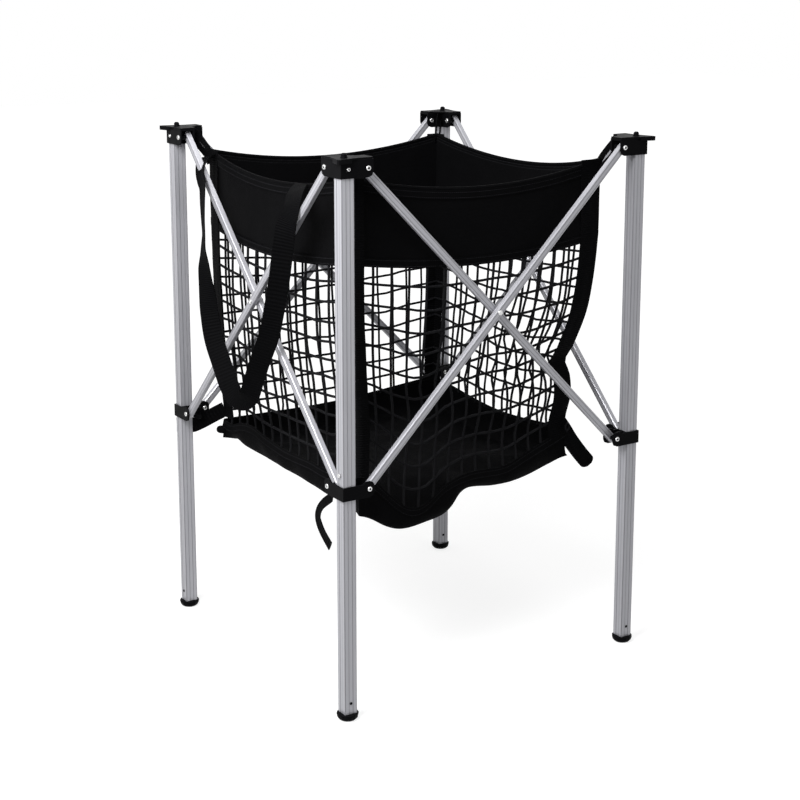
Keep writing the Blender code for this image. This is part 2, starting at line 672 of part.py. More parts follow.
def build_snap_button():
    """Snap button along +X: a domed pin with a flange behind the leg's wall and a bent leaf spring."""
    tip = LEG_HALF + BUTTON_PROUD
    flange_front = LEG_INNER_HALF - RUNNING_GAP
    flange_back = flange_front - BUTTON_FLANGE_THICKNESS
    button = turned([
        (0, tip),
        (BUTTON_TIP_RADIUS, tip - BUTTON_TIP_DROP),
        (BUTTON_RADIUS, tip - BUTTON_DOME),
        (BUTTON_RADIUS, flange_front),
        (BUTTON_FLANGE_RADIUS, flange_front),
        (BUTTON_FLANGE_RADIUS, flange_back),
        (0, flange_back),
    ], PIN_STEPS)
    leaf = (
        (flange_back, BUTTON_RADIUS),
        (flange_back, -SPRING_LENGTH),
        (flange_back - SPRING_OPENING / 2, -SPRING_LENGTH - SPRING_BEND),
        (flange_back - SPRING_OPENING, 0),
    )
    outwards = Vector((1, 0, 0))
    faces = (outwards, outwards, -outwards, -outwards)
    spring = strap([Vector((x, 0, z)) for x, z in leaf], SPRING_WIDTH, SPRING_THICKNESS, faces)
    return carved(moved(button, Matrix.Rotation(QUARTER, 4, 'Y')), ('UNION', spring))


def around(turns, point):
    """Point carried round the cart by quarter turns."""
    return Matrix.Rotation(turns * QUARTER, 3, 'Z') @ Vector(point)


def ease(value):
    """Smooth step from 0 to 1."""
    value = min(max(value, 0), 1)
    return value * value * (3 - 2 * value)


def corner_distance(corner, height):
    """Distance of a bag corner from the middle along X and along Y."""
    drawn_in = ease((BASE_RIM + PINCH_START - height) / (PINCH_START - PINCH_END))
    return BAG_HALF_WIDTH - CORNER_PINCH[corner % 4] * drawn_in


def bag_point(side, across, height, margin=0):
    """Point of the bag's wall on a side drawn as side 0, with across from -1 to 1 between its ends' margins."""
    left = corner_distance(side, height)
    right = corner_distance(side + 1, height)
    share = (across + 1) / 2
    rise = (height - BASE_RIM + BULGE_BELOW_RIM) / (BAG_TOP + BULGE_ABOVE_TOP - BASE_RIM + BULGE_BELOW_RIM)
    bulge = BAG_BULGE * (1 - across * across) * math.sin(math.pi * rise)
    x = -left + margin + share * (left + right - 2 * margin)
    return Vector((x, -left + share * (left - right) - bulge, height))


def band_top(across):
    return BAG_TOP - BAG_TOP_SAG * (1 - across * across)


def band_bottom(across):
    return BAND_BOTTOM - BAND_BOTTOM_SAG * (1 - across * across)


def wall_sheet(side, rows, low_edge, high_edge, thickness):
    """Grid on a wall of the bag between two edges given as heights across it, with a seam's gap at both ends."""
    bm = bmesh.new()
    bmesh.ops.create_grid(bm, x_segments=WALL_COLUMNS, y_segments=rows, size=1)
    for vert in bm.verts:
        across = vert.co.x
        low = low_edge(across)
        height = low + (vert.co.y + 1) / 2 * (high_edge(across) - low)
        vert.co = around(side, bag_point(side, across, height, thickness / 2 + RUNNING_GAP))
    bm.normal_update()
    return bm


def build_band(side):
    """Fabric band round the top of the bag, on one side."""
    return thickened(wall_sheet(side, 1, band_bottom, band_top, BAND_THICKNESS), BAND_THICKNESS)


def build_net(side):
    """Netting between the band and the base, on one side."""
    bm = wall_sheet(
        side, NET_ROWS,
        lambda across: BASE_RIM + RUNNING_GAP,
        lambda across: band_bottom(across) - RUNNING_GAP,
        NET_THICKNESS,
    )
    cords = set(bmesh.ops.inset_individual(bm, faces=bm.faces[:], thickness=NET_CORD_WIDTH / 2)["faces"])
    bmesh.ops.delete(bm, geom=[face for face in bm.faces if face not in cords], context='FACES')
    return thickened(bm, NET_THICKNESS)


def floor_height(x, y):
    """Height of the bag's floor, with its sags."""
    height = BASE_FLOOR
    for lobe_x, lobe_y, depth, radius in BASE_LOBES:
        height -= depth * math.exp(-((x - lobe_x) ** 2 + (y - lobe_y) ** 2) / radius ** 2)
    return height


def build_base():
    """Bottom of the bag: a sagging floor whose edge turns up to the netting."""
    bm = bmesh.new()
    bmesh.ops.create_grid(bm, x_segments=BASE_DIVISIONS, y_segments=BASE_DIVISIONS, size=1)
    rings = BASE_DIVISIONS / 2
    floor_share = (rings - BASE_WALL_RINGS) / rings
    rim_height = BASE_RIM - 2 * RUNNING_GAP
    for vert in bm.verts:
        gx, gy = vert.co.x, vert.co.y
        ring = max(abs(gx), abs(gy))
        if ring == 0:
            vert.co.z = floor_height(0, 0)
            continue
        if abs(gy) >= abs(gx):
            side, across = (0, gx / ring) if gy < 0 else (2, -gx / ring)
        else:
            side, across = (1, gy / ring) if gx > 0 else (3, -gy / ring)
        rim = around(side, bag_point(side, across, BASE_RIM))
        rise = max(0, (ring - floor_share) / (1 - floor_share))
        scale = min(ring / floor_share, 1) * (BASE_FLOOR_SCALE + (1 - BASE_FLOOR_SCALE) * rise)
        x, y = rim.x * scale, rim.y * scale
        vert.co = (x, y, floor_height(x, y) * (1 - rise) + rim_height * rise)
    return thickened(bm, BASE_THICKNESS)


def build_corner_webbing():
    """Webbing from under the cap plate's inner web down to the bag's corner."""
    top = BRACKET_TOP - WEBBING_THICKNESS / 2
    bottom = BAG_TOP + RUNNING_GAP + WEBBING_THICKNESS / 2
    diagonal = Vector((1, 1, 0)).normalized()
    start = (SLEEVE_OUTER + RUNNING_GAP) * math.sqrt(2) + WEBBING_WIDTH / 2
    bag_corner = BAG_TO_LEGS * math.sqrt(2)
    stations = (
        (start, top),
        (start + WEBBING_SEAT, top),
        (bag_corner - WEBBING_OVERLAP, bottom),
        (bag_corner + WEBBING_OVERLAP, bottom),
    )
    points = [diagonal * distance + Vector((0, 0, height)) for distance, height in stations]
    return strap(points, WEBBING_WIDTH, WEBBING_THICKNESS, [Vector((0, 0, 1))] * len(points))


def build_carry_strap():
    """Shoulder strap that hangs as a loop outside the bars of the left_front side."""
    points, faces = zip(*CARRY_STRAP_ROUTE)
    start = Vector((-HALF, 0, BAG_TOP))
    route = [start + point for point in smooth_route(points)]
    return strap(route, CARRY_STRAP_WIDTH, CARRY_STRAP_THICKNESS, smooth_route(faces))


def build_fastened_tie():
    """Tie strap closed round the left leg, with its tail up to the bag's corner."""
    half_height = TIE_LOOP_HEIGHT / 2
    inner = LEG_HALF + RUNNING_GAP
    outer = inner + TIE_THICKNESS
    loop = slab([square(outer), square(inner)], TIE_LOOP_CENTRE - half_height, TIE_LOOP_CENTRE + half_height)
    near = outer * math.sqrt(2) - TIE_THICKNESS
    far = (HALF - corner_distance(3, TIE_BAG_HEIGHT)) * math.sqrt(2) - BASE_THICKNESS / 2 - RUNNING_GAP
    side_view = [
        (near, TIE_LOOP_CENTRE - half_height),
        (far, TIE_BAG_HEIGHT - half_height),
        (far, TIE_BAG_HEIGHT + half_height),
        (near, TIE_LOOP_CENTRE + half_height),
    ]
    tail = moved(slab([side_view], -TIE_THICKNESS / 2, TIE_THICKNESS / 2), Matrix.Rotation(QUARTER, 4, 'X'))
    mesh = carved(loop, ('UNION', moved(tail, Matrix.Rotation(-QUARTER / 2, 4, 'Z'))))
    return moved(mesh, Matrix.Translation((-HALF, HALF, 0)))


def build_loose_tie(corner, route, width, face):
    """Tie strap that hangs loose from a corner of the bag."""
    distance = corner_distance(corner, BASE_RIM)
    bag_corner = around(corner, (-distance, -distance, BASE_RIM))
    points = [bag_corner + point for point in smooth_route(route)]
    return strap(points, width, TIE_THICKNESS, [Vector(face)] * len(points))


def pivot(name, position, parent=None):
    """Empty on a joint's axis."""
    empty = bpy.data.objects.new(name, None)
    empty.empty_display_size = 0.02
    cart.objects.link(empty)
    empty.matrix_world = Matrix.Translation(position)
    if parent:
        attach(empty, parent)
    return empty


def attach(child, parent):
    """Parent an object without moving it."""
    bpy.context.view_layer.update()
    child.parent = parent
    child.matrix_parent_inverse = parent.matrix_world.inverted()


def build_corners():
    """Everything that stands at the four legs, as a dictionary of parts."""
    made = {}
    bracket = build_bracket()
    plate = build_cap_plate()
    slider = build_slider()
    screw = build_cap_screw()
    webbing = build_corner_webbing()
    button = build_snap_button()
    for turns, corner in enumerate(CORNERS):
        leg_axis = around(turns, CORNER)
        made["leg_" + corner] = place("leg_" + corner, build_leg(turns), aluminium, leg_axis)
        made["foot_" + corner] = place("foot_" + corner, build_foot(turns), black_plastic, leg_axis)
        for name, mesh, material in (
            ("top_bracket_", bracket, black_plastic),
            ("cap_plate_", plate, black_plastic),
            ("cap_screw_", screw, steel),
            ("slider_", slider, black_plastic),
            ("corner_webbing_", webbing, black_webbing),
        ):
            made[name + corner] = place(name + corner, mesh, material, CORNER, turns)
        height = Matrix.Translation(leg_axis + Vector((0, 0, BUTTON_HEIGHT)))
        snap = place("snap_button_" + corner, button, steel)
        snap.matrix_world = height @ Matrix.Rotation(BUTTON_TURNS[turns] * QUARTER, 4, 'Z')
        made[snap.name] = snap
    return made


def build_sides():
    """The bars and their crossing pins on the four sides."""
    made = {}
    bar = build_bar()
    pin_grip = BAR_GAP / 2 + BAR_DEPTH + RUNNING_GAP
    crossing_pin = moved(turned(pin_profile(pin_grip), PIN_STEPS), OUT_OF_X_ARM)
    outer_bar = moved(bar, Matrix.Translation((0, -BAR_OFFSET, 0)) @ Matrix.Rotation(-BAR_SLOPE, 4, 'Y'))
    inner_bar = moved(bar, Matrix.Translation((0, BAR_OFFSET, 0)) @ Matrix.Rotation(BAR_SLOPE, 4, 'Y'))
    crossing = (0, -HALF, CROSS_HEIGHT)
    for turns, side in enumerate(SIDES):
        for name, mesh, material, origin in (
            ("outer_bar_", outer_bar, aluminium, crossing),
            ("inner_bar_", inner_bar, aluminium, crossing),
            ("crossing_pin_", crossing_pin, steel, crossing),
        ):
            made[name + side] = place(name + side, mesh, material, origin, turns)
    return made


def build_bag():
    """The bag's walls and base, with its carry strap and tie straps."""
    made = {}
    for side, name in enumerate(SIDES):
        made["band_" + name] = place("band_" + name, build_band(side), black_fabric)
        made["net_" + name] = place("net_" + name, build_net(side), black_net)
    for name, mesh, material in (
        ("base_panel", build_base(), black_fabric),
        ("carry_strap", build_carry_strap(), black_webbing),
        ("fastened_tie_strap", build_fastened_tie(), black_webbing),
        ("right_tie_strap", build_loose_tie(1, RIGHT_TIE_ROUTE, TIE_WIDTH, (0, 1, 0)), black_webbing),
        ("front_tie_strap", build_loose_tie(0, FRONT_TIE_ROUTE, FRONT_TIE_WIDTH, (1, 0, 0)), black_webbing),
    ):
        made[name] = place(name, mesh, material)
    return made


def hang_on_pivots(parts):
    """Parent the moving parts to empties on their joints' axes, as the frame folds."""
    pin = Vector((PIN_INSET, 0, 0))
    top_left = [around(turns, CORNER + pin) + Vector((0, 0, TOP_PIN_HEIGHT)) for turns in range(4)]
    low_left = [around(turns, CORNER + pin) + Vector((0, 0, SLIDER_PIN_HEIGHT)) for turns in range(4)]
    top_right = [around(turns + 1, CORNER + pin.yxz) + Vector((0, 0, TOP_PIN_HEIGHT)) for turns in range(4)]
    low_right = [around(turns + 1, CORNER + pin.yxz) + Vector((0, 0, SLIDER_PIN_HEIGHT)) for turns in range(4)]
    crossing = [around(turns, (0, -HALF, CROSS_HEIGHT)) for turns in range(4)]
    tree = (
        ("front_right_inner", top_left[0], None, ("inner_bar_front_right",)),
        ("front_right_outer", crossing[0], "front_right_inner", ("outer_bar_front_right", "crossing_pin_front_right")),
        ("left_front_outer", top_right[3], None, ("outer_bar_left_front", "crossing_pin_left_front")),
        ("left_front_inner", crossing[3], "left_front_outer", ("inner_bar_left_front",)),
        ("right_leg", top_right[0], "front_right_outer", leg_parts("right") + ("band_right_back", "net_right_back")),
        ("left_leg", top_left[3], "left_front_inner",
         leg_parts("left") + ("band_back_left", "net_back_left", "fastened_tie_strap")),
        ("right_back_inner", top_left[1], "right_leg", ("inner_bar_right_back",)),
        ("right_back_outer", crossing[1], "right_back_inner", ("outer_bar_right_back", "crossing_pin_right_back")),
        ("back_leg", top_right[1], "right_back_outer", leg_parts("back")),
        ("back_left_outer", top_right[2], "left_leg", ("outer_bar_back_left", "crossing_pin_back_left")),
        ("back_left_inner", crossing[2], "back_left_outer", ("inner_bar_back_left",)),
        ("front_slider", low_left[0], "front_right_outer", ("slider_front",)),
        ("right_slider", low_right[0], "front_right_inner", ("slider_right",)),
        ("left_slider", low_left[3], "left_front_outer", ("slider_left",)),
        ("back_slider", low_right[1], "right_back_inner", ("slider_back",)),
    )
    pivots = {None: None}
    for name, position, parent, members in tree:
        pivots[name] = pivot(name + "_pivot", position, pivots[parent])
        for member in members:
            attach(parts[member], pivots[name])
    attach(parts["snap_button_front"], parts["leg_front"])


def leg_parts(corner):
    names = ("leg_", "foot_", "top_bracket_", "cap_plate_", "cap_screw_", "corner_webbing_", "snap_button_")
    return tuple(name + corner for name in names)


clear_scene()
cart = new_collection("ball_cart")
cutters = new_collection("cutters")
aluminium = new_material("aluminium", (0.62, 0.62, 0.66), 0.38, 0.9)
steel = new_material("steel", (0.72, 0.72, 0.74), 0.3, 1.0)
black_plastic = new_material("black_plastic", (0.012, 0.012, 0.014), 0.45, 0.0)
black_webbing = new_material("black_webbing", (0.014, 0.014, 0.015), 0.8, 0.0)
black_fabric = new_material("black_fabric", (0.010, 0.010, 0.012), 0.6, 0.0)
black_net = new_material("black_net", (0.010, 0.010, 0.011), 0.85, 0.0)

hang_on_pivots(build_corners() | build_sides() | build_bag())
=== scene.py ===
"""Folding ball cart, dressed over its frame: metal finishes, rivets, a hanging bag and its straps."""

import json
import math

import bmesh
import bpy
from mathutils import Matrix, Vector, noise

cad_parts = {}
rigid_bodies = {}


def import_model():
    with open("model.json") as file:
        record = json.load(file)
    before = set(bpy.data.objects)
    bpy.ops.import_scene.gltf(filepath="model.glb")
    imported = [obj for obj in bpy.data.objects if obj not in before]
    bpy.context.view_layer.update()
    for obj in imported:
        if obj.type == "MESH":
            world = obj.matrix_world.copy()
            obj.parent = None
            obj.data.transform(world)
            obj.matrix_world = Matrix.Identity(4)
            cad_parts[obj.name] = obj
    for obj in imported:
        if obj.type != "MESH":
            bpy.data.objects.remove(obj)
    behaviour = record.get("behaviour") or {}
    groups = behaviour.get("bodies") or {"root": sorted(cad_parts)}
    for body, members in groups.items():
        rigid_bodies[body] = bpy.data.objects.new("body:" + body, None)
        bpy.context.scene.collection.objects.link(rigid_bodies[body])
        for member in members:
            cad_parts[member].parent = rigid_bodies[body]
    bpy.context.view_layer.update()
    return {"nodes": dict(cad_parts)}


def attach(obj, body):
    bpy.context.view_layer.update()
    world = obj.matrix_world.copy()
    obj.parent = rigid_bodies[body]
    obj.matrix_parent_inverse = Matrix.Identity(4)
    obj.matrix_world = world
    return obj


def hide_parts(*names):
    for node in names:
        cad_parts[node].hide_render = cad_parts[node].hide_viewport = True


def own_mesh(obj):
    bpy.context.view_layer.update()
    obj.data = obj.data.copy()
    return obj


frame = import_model()

# Sizes that the frame has, in metres
HALF = 0.320                   # legs' axes from the middle
PIN_INSET = 0.039              # bars' pins from their leg's axis
TOP_PIN_HEIGHT = 0.9895
SLIDER_PIN_HEIGHT = 0.4275
CROSS_HEIGHT = (TOP_PIN_HEIGHT + SLIDER_PIN_HEIGHT) / 2
SLEEVE_OUTER = 0.0152          # brackets' and sliders' outer faces from their leg's axis
CROSS_GRIP = 0.0118            # half of the two bars' thickness where they cross, with their washers

# Rivet heads, each as its radius and height
PIN_HEAD = (0.0047, 0.0022)
BRACKET_HEAD = (0.0034, 0.0019)
CROSS_HEAD = (0.0050, 0.0022)
HEAD_STEPS = 32
HEAD_PROFILE = (               # a dished head from its middle to its seat, in shares of radius and height
    (0, 0.25), (0.36, 0.25), (0.46, 0.85), (0.60, 1), (0.82, 0.86), (0.97, 0.45), (1, 0), (0, 0),
)
PIN_SEATS = (                  # offsets from the leg's axis, and the head's quarter turns from +X
    (PIN_INSET, -SLEEVE_OUTER, 3),
    (PIN_INSET, SLEEVE_OUTER, 1),
    (-SLEEVE_OUTER, PIN_INSET, 2),
    (SLEEVE_OUTER, PIN_INSET, 0),
)

# Sizes of the bag
BAG_HALF_WIDTH = 0.272
BAG_TOP = 0.963
BAG_TOP_SAG = 0.031
BAND_BOTTOM = 0.820
BAND_BOTTOM_SAG = 0.020
BAG_BULGE = 0.018
BULGE_LOW = 0.360
BULGE_HIGH = 1.060
CORNER_DRAW = (                # draw-in of each corner of the bag at some heights
    ((0.390, 0.018), (0.440, 0.028), (0.520, 0.030), (0.640, 0.008), (0.740, 0)),
    ((0.380, 0.032), (0.445, 0.040), (0.500, 0.033), (0.545, 0.035), (0.571, 0.0415), (0.600, 0.031),
     (0.665, 0.0145), (0.730, 0.006), (0.820, 0)),
    ((0.380, 0.014), (0.500, 0.016), (0.640, 0)),
    ((0.376, 0.007), (0.420, 0.014), (0.450, 0.012), (0.560, 0.006), (0.700, 0.002), (0.860, 0)),
)
RIM_HEIGHTS = (                # height of the base's rim at some places across each side
    ((-1, 0.424), (-0.85, 0.398), (-0.64, 0.350), (-0.52, 0.335), (-0.40, 0.338), (-0.22, 0.368),
     (0, 0.381), (0.35, 0.380), (0.58, 0.397), (1, 0.426)),
    ((-1, 0.426), (0, 0.404), (1, 0.424)),
    ((-1, 0.424), (0, 0.402), (1, 0.404)),
    ((-1, 0.404), (-0.86, 0.402), (-0.70, 0.414), (-0.52, 0.418), (-0.30, 0.410), (0, 0.403),
     (0.35, 0.404), (0.62, 0.402), (1, 0.424)),
)
FOOT_HEIGHTS = (               # height of the edge where each wall of the base turns under
    ((-1, 0.348), (-0.90, 0.333), (-0.78, 0.314), (-0.67, 0.303), (-0.56, 0.300), (-0.40, 0.303),
     (-0.22, 0.310), (-0.14, 0.322), (-0.06, 0.344), (0.03, 0.353), (0.30, 0.346), (0.58, 0.348),
     (0.86, 0.364), (1, 0.378)),
    ((-1, 0.378), (0, 0.350), (1, 0.370)),
    ((-1, 0.370), (0, 0.352), (1, 0.372)),
    ((-1, 0.372), (-0.86, 0.378), (-0.70, 0.370), (-0.12, 0.364), (0.24, 0.360), (0.55, 0.353),
     (1, 0.348)),
)
RIM_LAP = 0.004                # top edge of the base's wall below the rim
WALL_TURN = 2.2                # power that leaves the wall's turn inwards to its lower part
FLOOR_SCALE = 0.93             # width of the floor's edge as a share of the walls'
CORNER_SCALE = 0.99            # the same at its corners
CORNER_POWER = 12              # power that keeps this to the corners
FLOOR_MIDDLE = 0.367           # height of the middle of the floor
FLOOR_DISH = 2.5               # power that leaves the floor's rise or fall to its outer part
FLOOR_CALM = 6                 # power that keeps its folds up to near its edge
BAND_SIZE = (0.546, 0.143)     # each band between its seams
BASE_CUT = (0.545, 0.080)      # each wall of the base as it is cut, before its edges are curved
CLOTH = 0.0014                 # thickness of the bag's cloth
WEBBING = 0.0018               # thickness of webbing
GORES = 16                     # wedges of the floor from the front corner
GORE_START = 0.004             # share of a wedge's length that is left off at the corner

# Hem and bindings
HEM_RADIUS = 0.0034
HEM_DROP = 0.001               # middle of the hem below the band's top
HEM_BINDING = 0.020            # depths of the bindings at a band's edges
BAND_BINDING = 0.016
RIM_BINDING_LENGTH = 0.52
RIM_BELOW = 0.011              # reach of the rim's binding below the rim and above it
RIM_ABOVE = 0.007
BINDING_OUT = 0.0016           # bindings' middle from the middle of their cloth
CORNER_BINDING = (             # reach of each corner's binding on the side before it and the side after it
    (0.026, 0.018),
    (0.046, 0.004),
    (0.022, 0.022),
    (0.004, 0.042),
)
CORNER_BINDING_ENDS = (0.418, 0.964)
CORNER_BINDING_LENGTH = 0.545
CORNER_BINDING_OUT = 0.0022

# Netting
CORD_RADIUS = 0.0025
NET_COLUMNS = 15
NET_ROWS = 11
KNOT_SIZE = (0.0034, 0.0030, 0.0034, 1)
LONG_SLACK = Vector((0.030, 0.010, 0.010))    # how far cords stray across, out and up over many cells
SHORT_SLACK = Vector((0.008, 0, 0.003))       # and over a few
NET_SEAM = 0.98                # place of the band's seam on the cords, which leaves a little slack in it
NET_SEED = 1                   # the cords' slack is then the same in every run

# Unevenness of cloth, as its grain per metre and its size
WALL_CREASES = (9, 0.0018)
PULL_GRAIN = 22                # of the creases that slant up to the corners of a wall
BASE_CREASES = (22, 0.003)
FLOOR_FOLDS = (12, 0.007)
FLOOR_CREASES = (30, 0.002)
CORNER_CREASES = (20, 0.0012)
TUCK_CREASES = (60, 0.0035)

# Straps
SHOULDER_WIDTH = 0.038
SHOULDER_ROUTE = (             # carry strap's centre, and the turn and tilt of its face from -X in degrees
    ((-0.2755, 0.263, 0.9470), -2, 80),
    ((-0.2906, 0.250, 0.9520), -2, 72),
    ((-0.3059, 0.235, 0.9462), -3, 45),
    ((-0.3184, 0.220, 0.9329), -4, 22),
    ((-0.3264, 0.205, 0.9195), -6, 8),
    ((-0.3310, 0.190, 0.9020), -9, 0),
    ((-0.3360, 0.181, 0.8732), -13, 0),
    ((-0.3400, 0.1725, 0.8437), -17, 0),
    ((-0.3440, 0.1630, 0.8145), -19, 0),
    ((-0.3470, 0.1605, 0.7838), -13, 0),
    ((-0.3500, 0.1533, 0.7540), 6, 0),
    ((-0.3500, 0.1475, 0.7236), 17, 0),
    ((-0.3500, 0.1396, 0.6938), 33, 0),
    ((-0.3500, 0.1340, 0.6635), 40, 0),
    ((-0.3500, 0.1175, 0.6162), 50, 0),
    ((-0.3500, 0.0870, 0.5750), 57, 0),
    ((-0.3500, 0.0520, 0.5330), 57, 0),
    ((-0.3510, 0.0180, 0.5180), 57, 0),
    ((-0.3500, -0.0180, 0.5300), 57, 0),
    ((-0.3500, -0.0420, 0.5680), 57, 0),
    ((-0.3500, -0.0690, 0.6130), 57, 0),
    ((-0.3500, -0.1030, 0.6640), 57, 0),
    ((-0.3500, -0.1222, 0.7101), 57, 0),
    ((-0.3500, -0.1439, 0.7713), 57, 0),
    ((-0.3500, -0.1597, 0.8310), 52, 0),
    ((-0.3490, -0.1720, 0.8758), 36, 4),
    ((-0.3440, -0.1765, 0.8979), 22, 14),
    ((-0.3340, -0.1700, 0.9162), 14, 35),
    ((-0.3160, -0.1480, 0.9290), 12, 50),
    ((-0.2980, -0.1275, 0.9350), 12, 52),
    ((-0.2825, -0.1095, 0.9380), 12, 55),
)
CORNER_STRAP_WIDTH = 0.011
CORNER_STRANDS = (             # each strand's shift across, and its reach in from the leg and its height
    ("upper", 0.003, ((0.030, 1.001), (0.040, 0.998), (0.054, 0.981), (0.067, 0.961), (0.070, 0.946))),
    ("lower", -0.003, ((0.030, 0.987), (0.036, 0.982), (0.047, 0.966), (0.060, 0.950), (0.066, 0.934))),
)
# Each tie's name, node, body, cloth below, side to gather with, width, radius of a rounded tip, and route
# with the directions in which its face looks
TIES = (
    ("tie_right", "right_tie_strap", "front_leg", "base_wall_front_right", 0, 0.031, 0.012, (
        ((0.214, -0.229, 0.456), (-0.3, -1, 0)), ((0.228, -0.236, 0.433), (-0.5, -1, 0)),
        ((0.243, -0.240, 0.408), (-0.5, -1, 0)), ((0.266, -0.243, 0.378), (-0.5, -1, 0)),
        ((0.289, -0.245, 0.352), (-0.4, -1, 0)))),
    ("tie_front", "front_tie_strap", "front_leg", "base_wall_left_front", 3, 0.024, None, (
        ((-0.264, -0.1800, 0.3680), (-0.85, 0.30, 0.40)), ((-0.272, -0.1567, 0.3480), (-0.90, 0.25, 0.35)),
        ((-0.274, -0.1438, 0.3283), (-0.98, 0.18, 0.10)), ((-0.274, -0.1440, 0.3122), (-1, 0.10, 0)),
        ((-0.273, -0.1580, 0.2930), (-0.97, 0, -0.15)), ((-0.272, -0.1830, 0.2736), (-0.95, -0.10, -0.20)))),
    ("tie_left", "fastened_tie_strap", "left_leg", "base_wall_left_front", None, 0.030, None, (
        ((-0.2580, 0.2580, 0.4325), (1, 1, 0)), ((-0.2750, 0.2750, 0.4190), (1, 1, 0)),
        ((-0.2920, 0.2920, 0.4050), (1, 1, 0)), ((-0.3045, 0.3055, 0.3955), (1, 0.8, 0)),
        ((-0.3062, 0.3150, 0.3925), (1, 0.1, 0)), ((-0.3062, 0.3270, 0.3920), (1, 0.1, 0)),
        ((-0.3085, 0.3338, 0.3920), (0.5, 1, 0)), ((-0.3200, 0.3340, 0.3920), (0, 1, 0)),
        ((-0.3315, 0.3340, 0.3920), (0, 1, 0)))),
)
STRAP_HOLLOW = 0.0006          # depth of the hollow across a strap's face
HEM_STEPS = 14                 # points of a strap over which its end turns to lie along a hem
TIP_SHARE = 0.1                # what a rounded end keeps of its width, squared
RING_MIDDLE = Vector((0.2304, -0.2450, 0.4385))
RING_REACH = Vector((0.0045, 0, 0.0075))      # from its middle to its cord's axis
RING_CORD_RADIUS = 0.0018
RING_STEPS = 24
TUCK_MIDDLE = (-0.2620, 0.2600, 0.3880)
TUCK_SIZE = (0.013, 0.008, 0.0095, 1)

# Finishes, as linear colours and shader values
ALUMINIUM = (0.45, 0.45, 0.48)
ALUMINIUM_DARK = (0.35, 0.35, 0.38)
ALUMINIUM_ROUGHNESS = 0.38
STEEL = (0.70, 0.70, 0.70)
STEEL_DARK = (0.52, 0.52, 0.52)
STEEL_ROUGHNESS = 0.26
PLASTIC = (0.003, 0.003, 0.0035)
PLASTIC_RUBBED = (0.014, 0.014, 0.016)
PLASTIC_SHINE = 0.022
CORD = (0.003, 0.003, 0.004)
CORD_LIGHT = (0.014, 0.014, 0.015)
CORD_ROUGHNESS = 0.8
CORD_SHINE = 0.04
CLOTH_LIGHT = (0.0045, 0.0045, 0.0050)
CLOTH_ROUGHNESS = 0.62
CLOTH_SHINE = 0.012
THREAD = (0.016, 0.016, 0.018)
# Painted shade: dark lines on the metal beside its grooves and edges, where shade falls
GROOVE_SHADE_COLOR = (0.06, 0.06, 0.065)
GROOVE_SHADE_STRENGTH = 0.75
GROOVE_SHADE_WIDTH = 0.0011            # half-width of the painted shade line where a drawn face steps
LEG_SHADE_LINES = (0.0040, 0.0116)   # painted shade lines' distances from the middle of a leg's face
BAR_SHADE_LINES = (0.0036,)          # and of a bar's
WEAVE = 0.0011                 # spacing of the cloth's threads
RIB = 0.0044                   # spacing of the webbing's ribs
STITCH = 0.0042                # length of a stitch with its gap
STITCH_SEEN = 0.72             # share of it that shows
STITCH_RADIUS = 0.0005
BAND_ROWS = (0.007, 0.130, 0.136)   # rows of stitches above the lower edge
BINDING_ROWS = (0.003, 0.013)

# Camera, light and stage
CAMERA_PLACE = (-1.7511, -2.6877, 1.3335)
CAMERA_DOWN = 11.742           # its turns in degrees: down from the level, and clockwise from +Y
CAMERA_CLOCKWISE = 33.09
CAMERA_LENS = 74.817
CAMERA_SHIFT = -0.12
LAMPS = (                      # name, place, size and power
    ("key", (-1.35, -0.60, 1.75), 1.0, 54),
    ("top", (0.2, 0.2, 3.6), 2.2, 28),
    ("fill", (1.0, -3.4, 1.8), 1.8, 10),
)
LIT_PLACE = Vector((0, 0, 0.55))    # the middle of the cart, which the lamps look at
STAGE_HALF = 12
STAGE_GREY = 0.38
GLOW_NEAR = (0.8, 0.80)        # distance from the middle, and how white the camera sees the stage there
GLOW_FAR = (3.5, 0.95)
WORLD_LIGHT = 0.17             # strength of the background on the object, and as the camera sees it
WORLD_SEEN = 1.0

CORNERS = ("front", "right", "back", "left")
SIDES = ("front_right", "right_back", "back_left", "left_front")
QUARTER = math.pi / 2

# Each side of the bag: body that carries it, direction in which it gathers, and corner that it gathers to
SIDE_RIDES = (
    ("front_leg", (1, 0, 0), 0),
    ("right_leg", (0, 1, 0), 1),
    ("left_leg", (1, 0, 0), 3),
    ("front_leg", (0, 1, 0), 0),
)

noise.seed_set(NET_SEED)


def node(tree, kind, settings=None, **inputs):
    """Shader node with its settings, and its inputs given as values or as other nodes' outputs."""
    made = tree.nodes.new("ShaderNode" + kind)
    for name, value in (settings or {}).items():
        setattr(made, name, value)
    for name, value in inputs.items():
        socket = made.inputs[int(name[1:]) if name[1:].isdigit() else name.replace("_", " ")]
        if isinstance(value, bpy.types.NodeSocket):
            tree.links.new(value, socket)
        else:
            socket.default_value = value
    return made


def math_node(tree, operation, *values):
    inputs = {f"i{index}": value for index, value in enumerate(values)}
    return node(tree, "Math", {"operation": operation}, **inputs).outputs[0]


def mixed_color(tree, factor, *colors):
    """Colour between two that are given as plain colours or as other nodes' outputs."""
    first, second = (color if isinstance(color, bpy.types.NodeSocket) else (*color, 1) for color in colors)
    return node(tree, "Mix", {"data_type": 'RGBA'}, i0=factor, i6=first, i7=second).outputs[2]


def shaded(name):
    """New material with its node tree and shader."""
    material = bpy.data.materials.new(name)
    material.use_nodes = True
    tree = material.node_tree
    return material, tree, tree.nodes["Principled BSDF"]


def masks_joined(tree, masks):
    """Mask that is as strong everywhere as the strongest of some masks."""
    joined = masks[0]
    for mask in masks[1:]:
        joined = math_node(tree, 'MAXIMUM', joined, mask)
    return joined


def away_from(tree, coordinate, place):
    """Distance of a coordinate from a place."""
    return math_node(tree, 'ABSOLUTE', math_node(tree, 'SUBTRACT', coordinate, place))


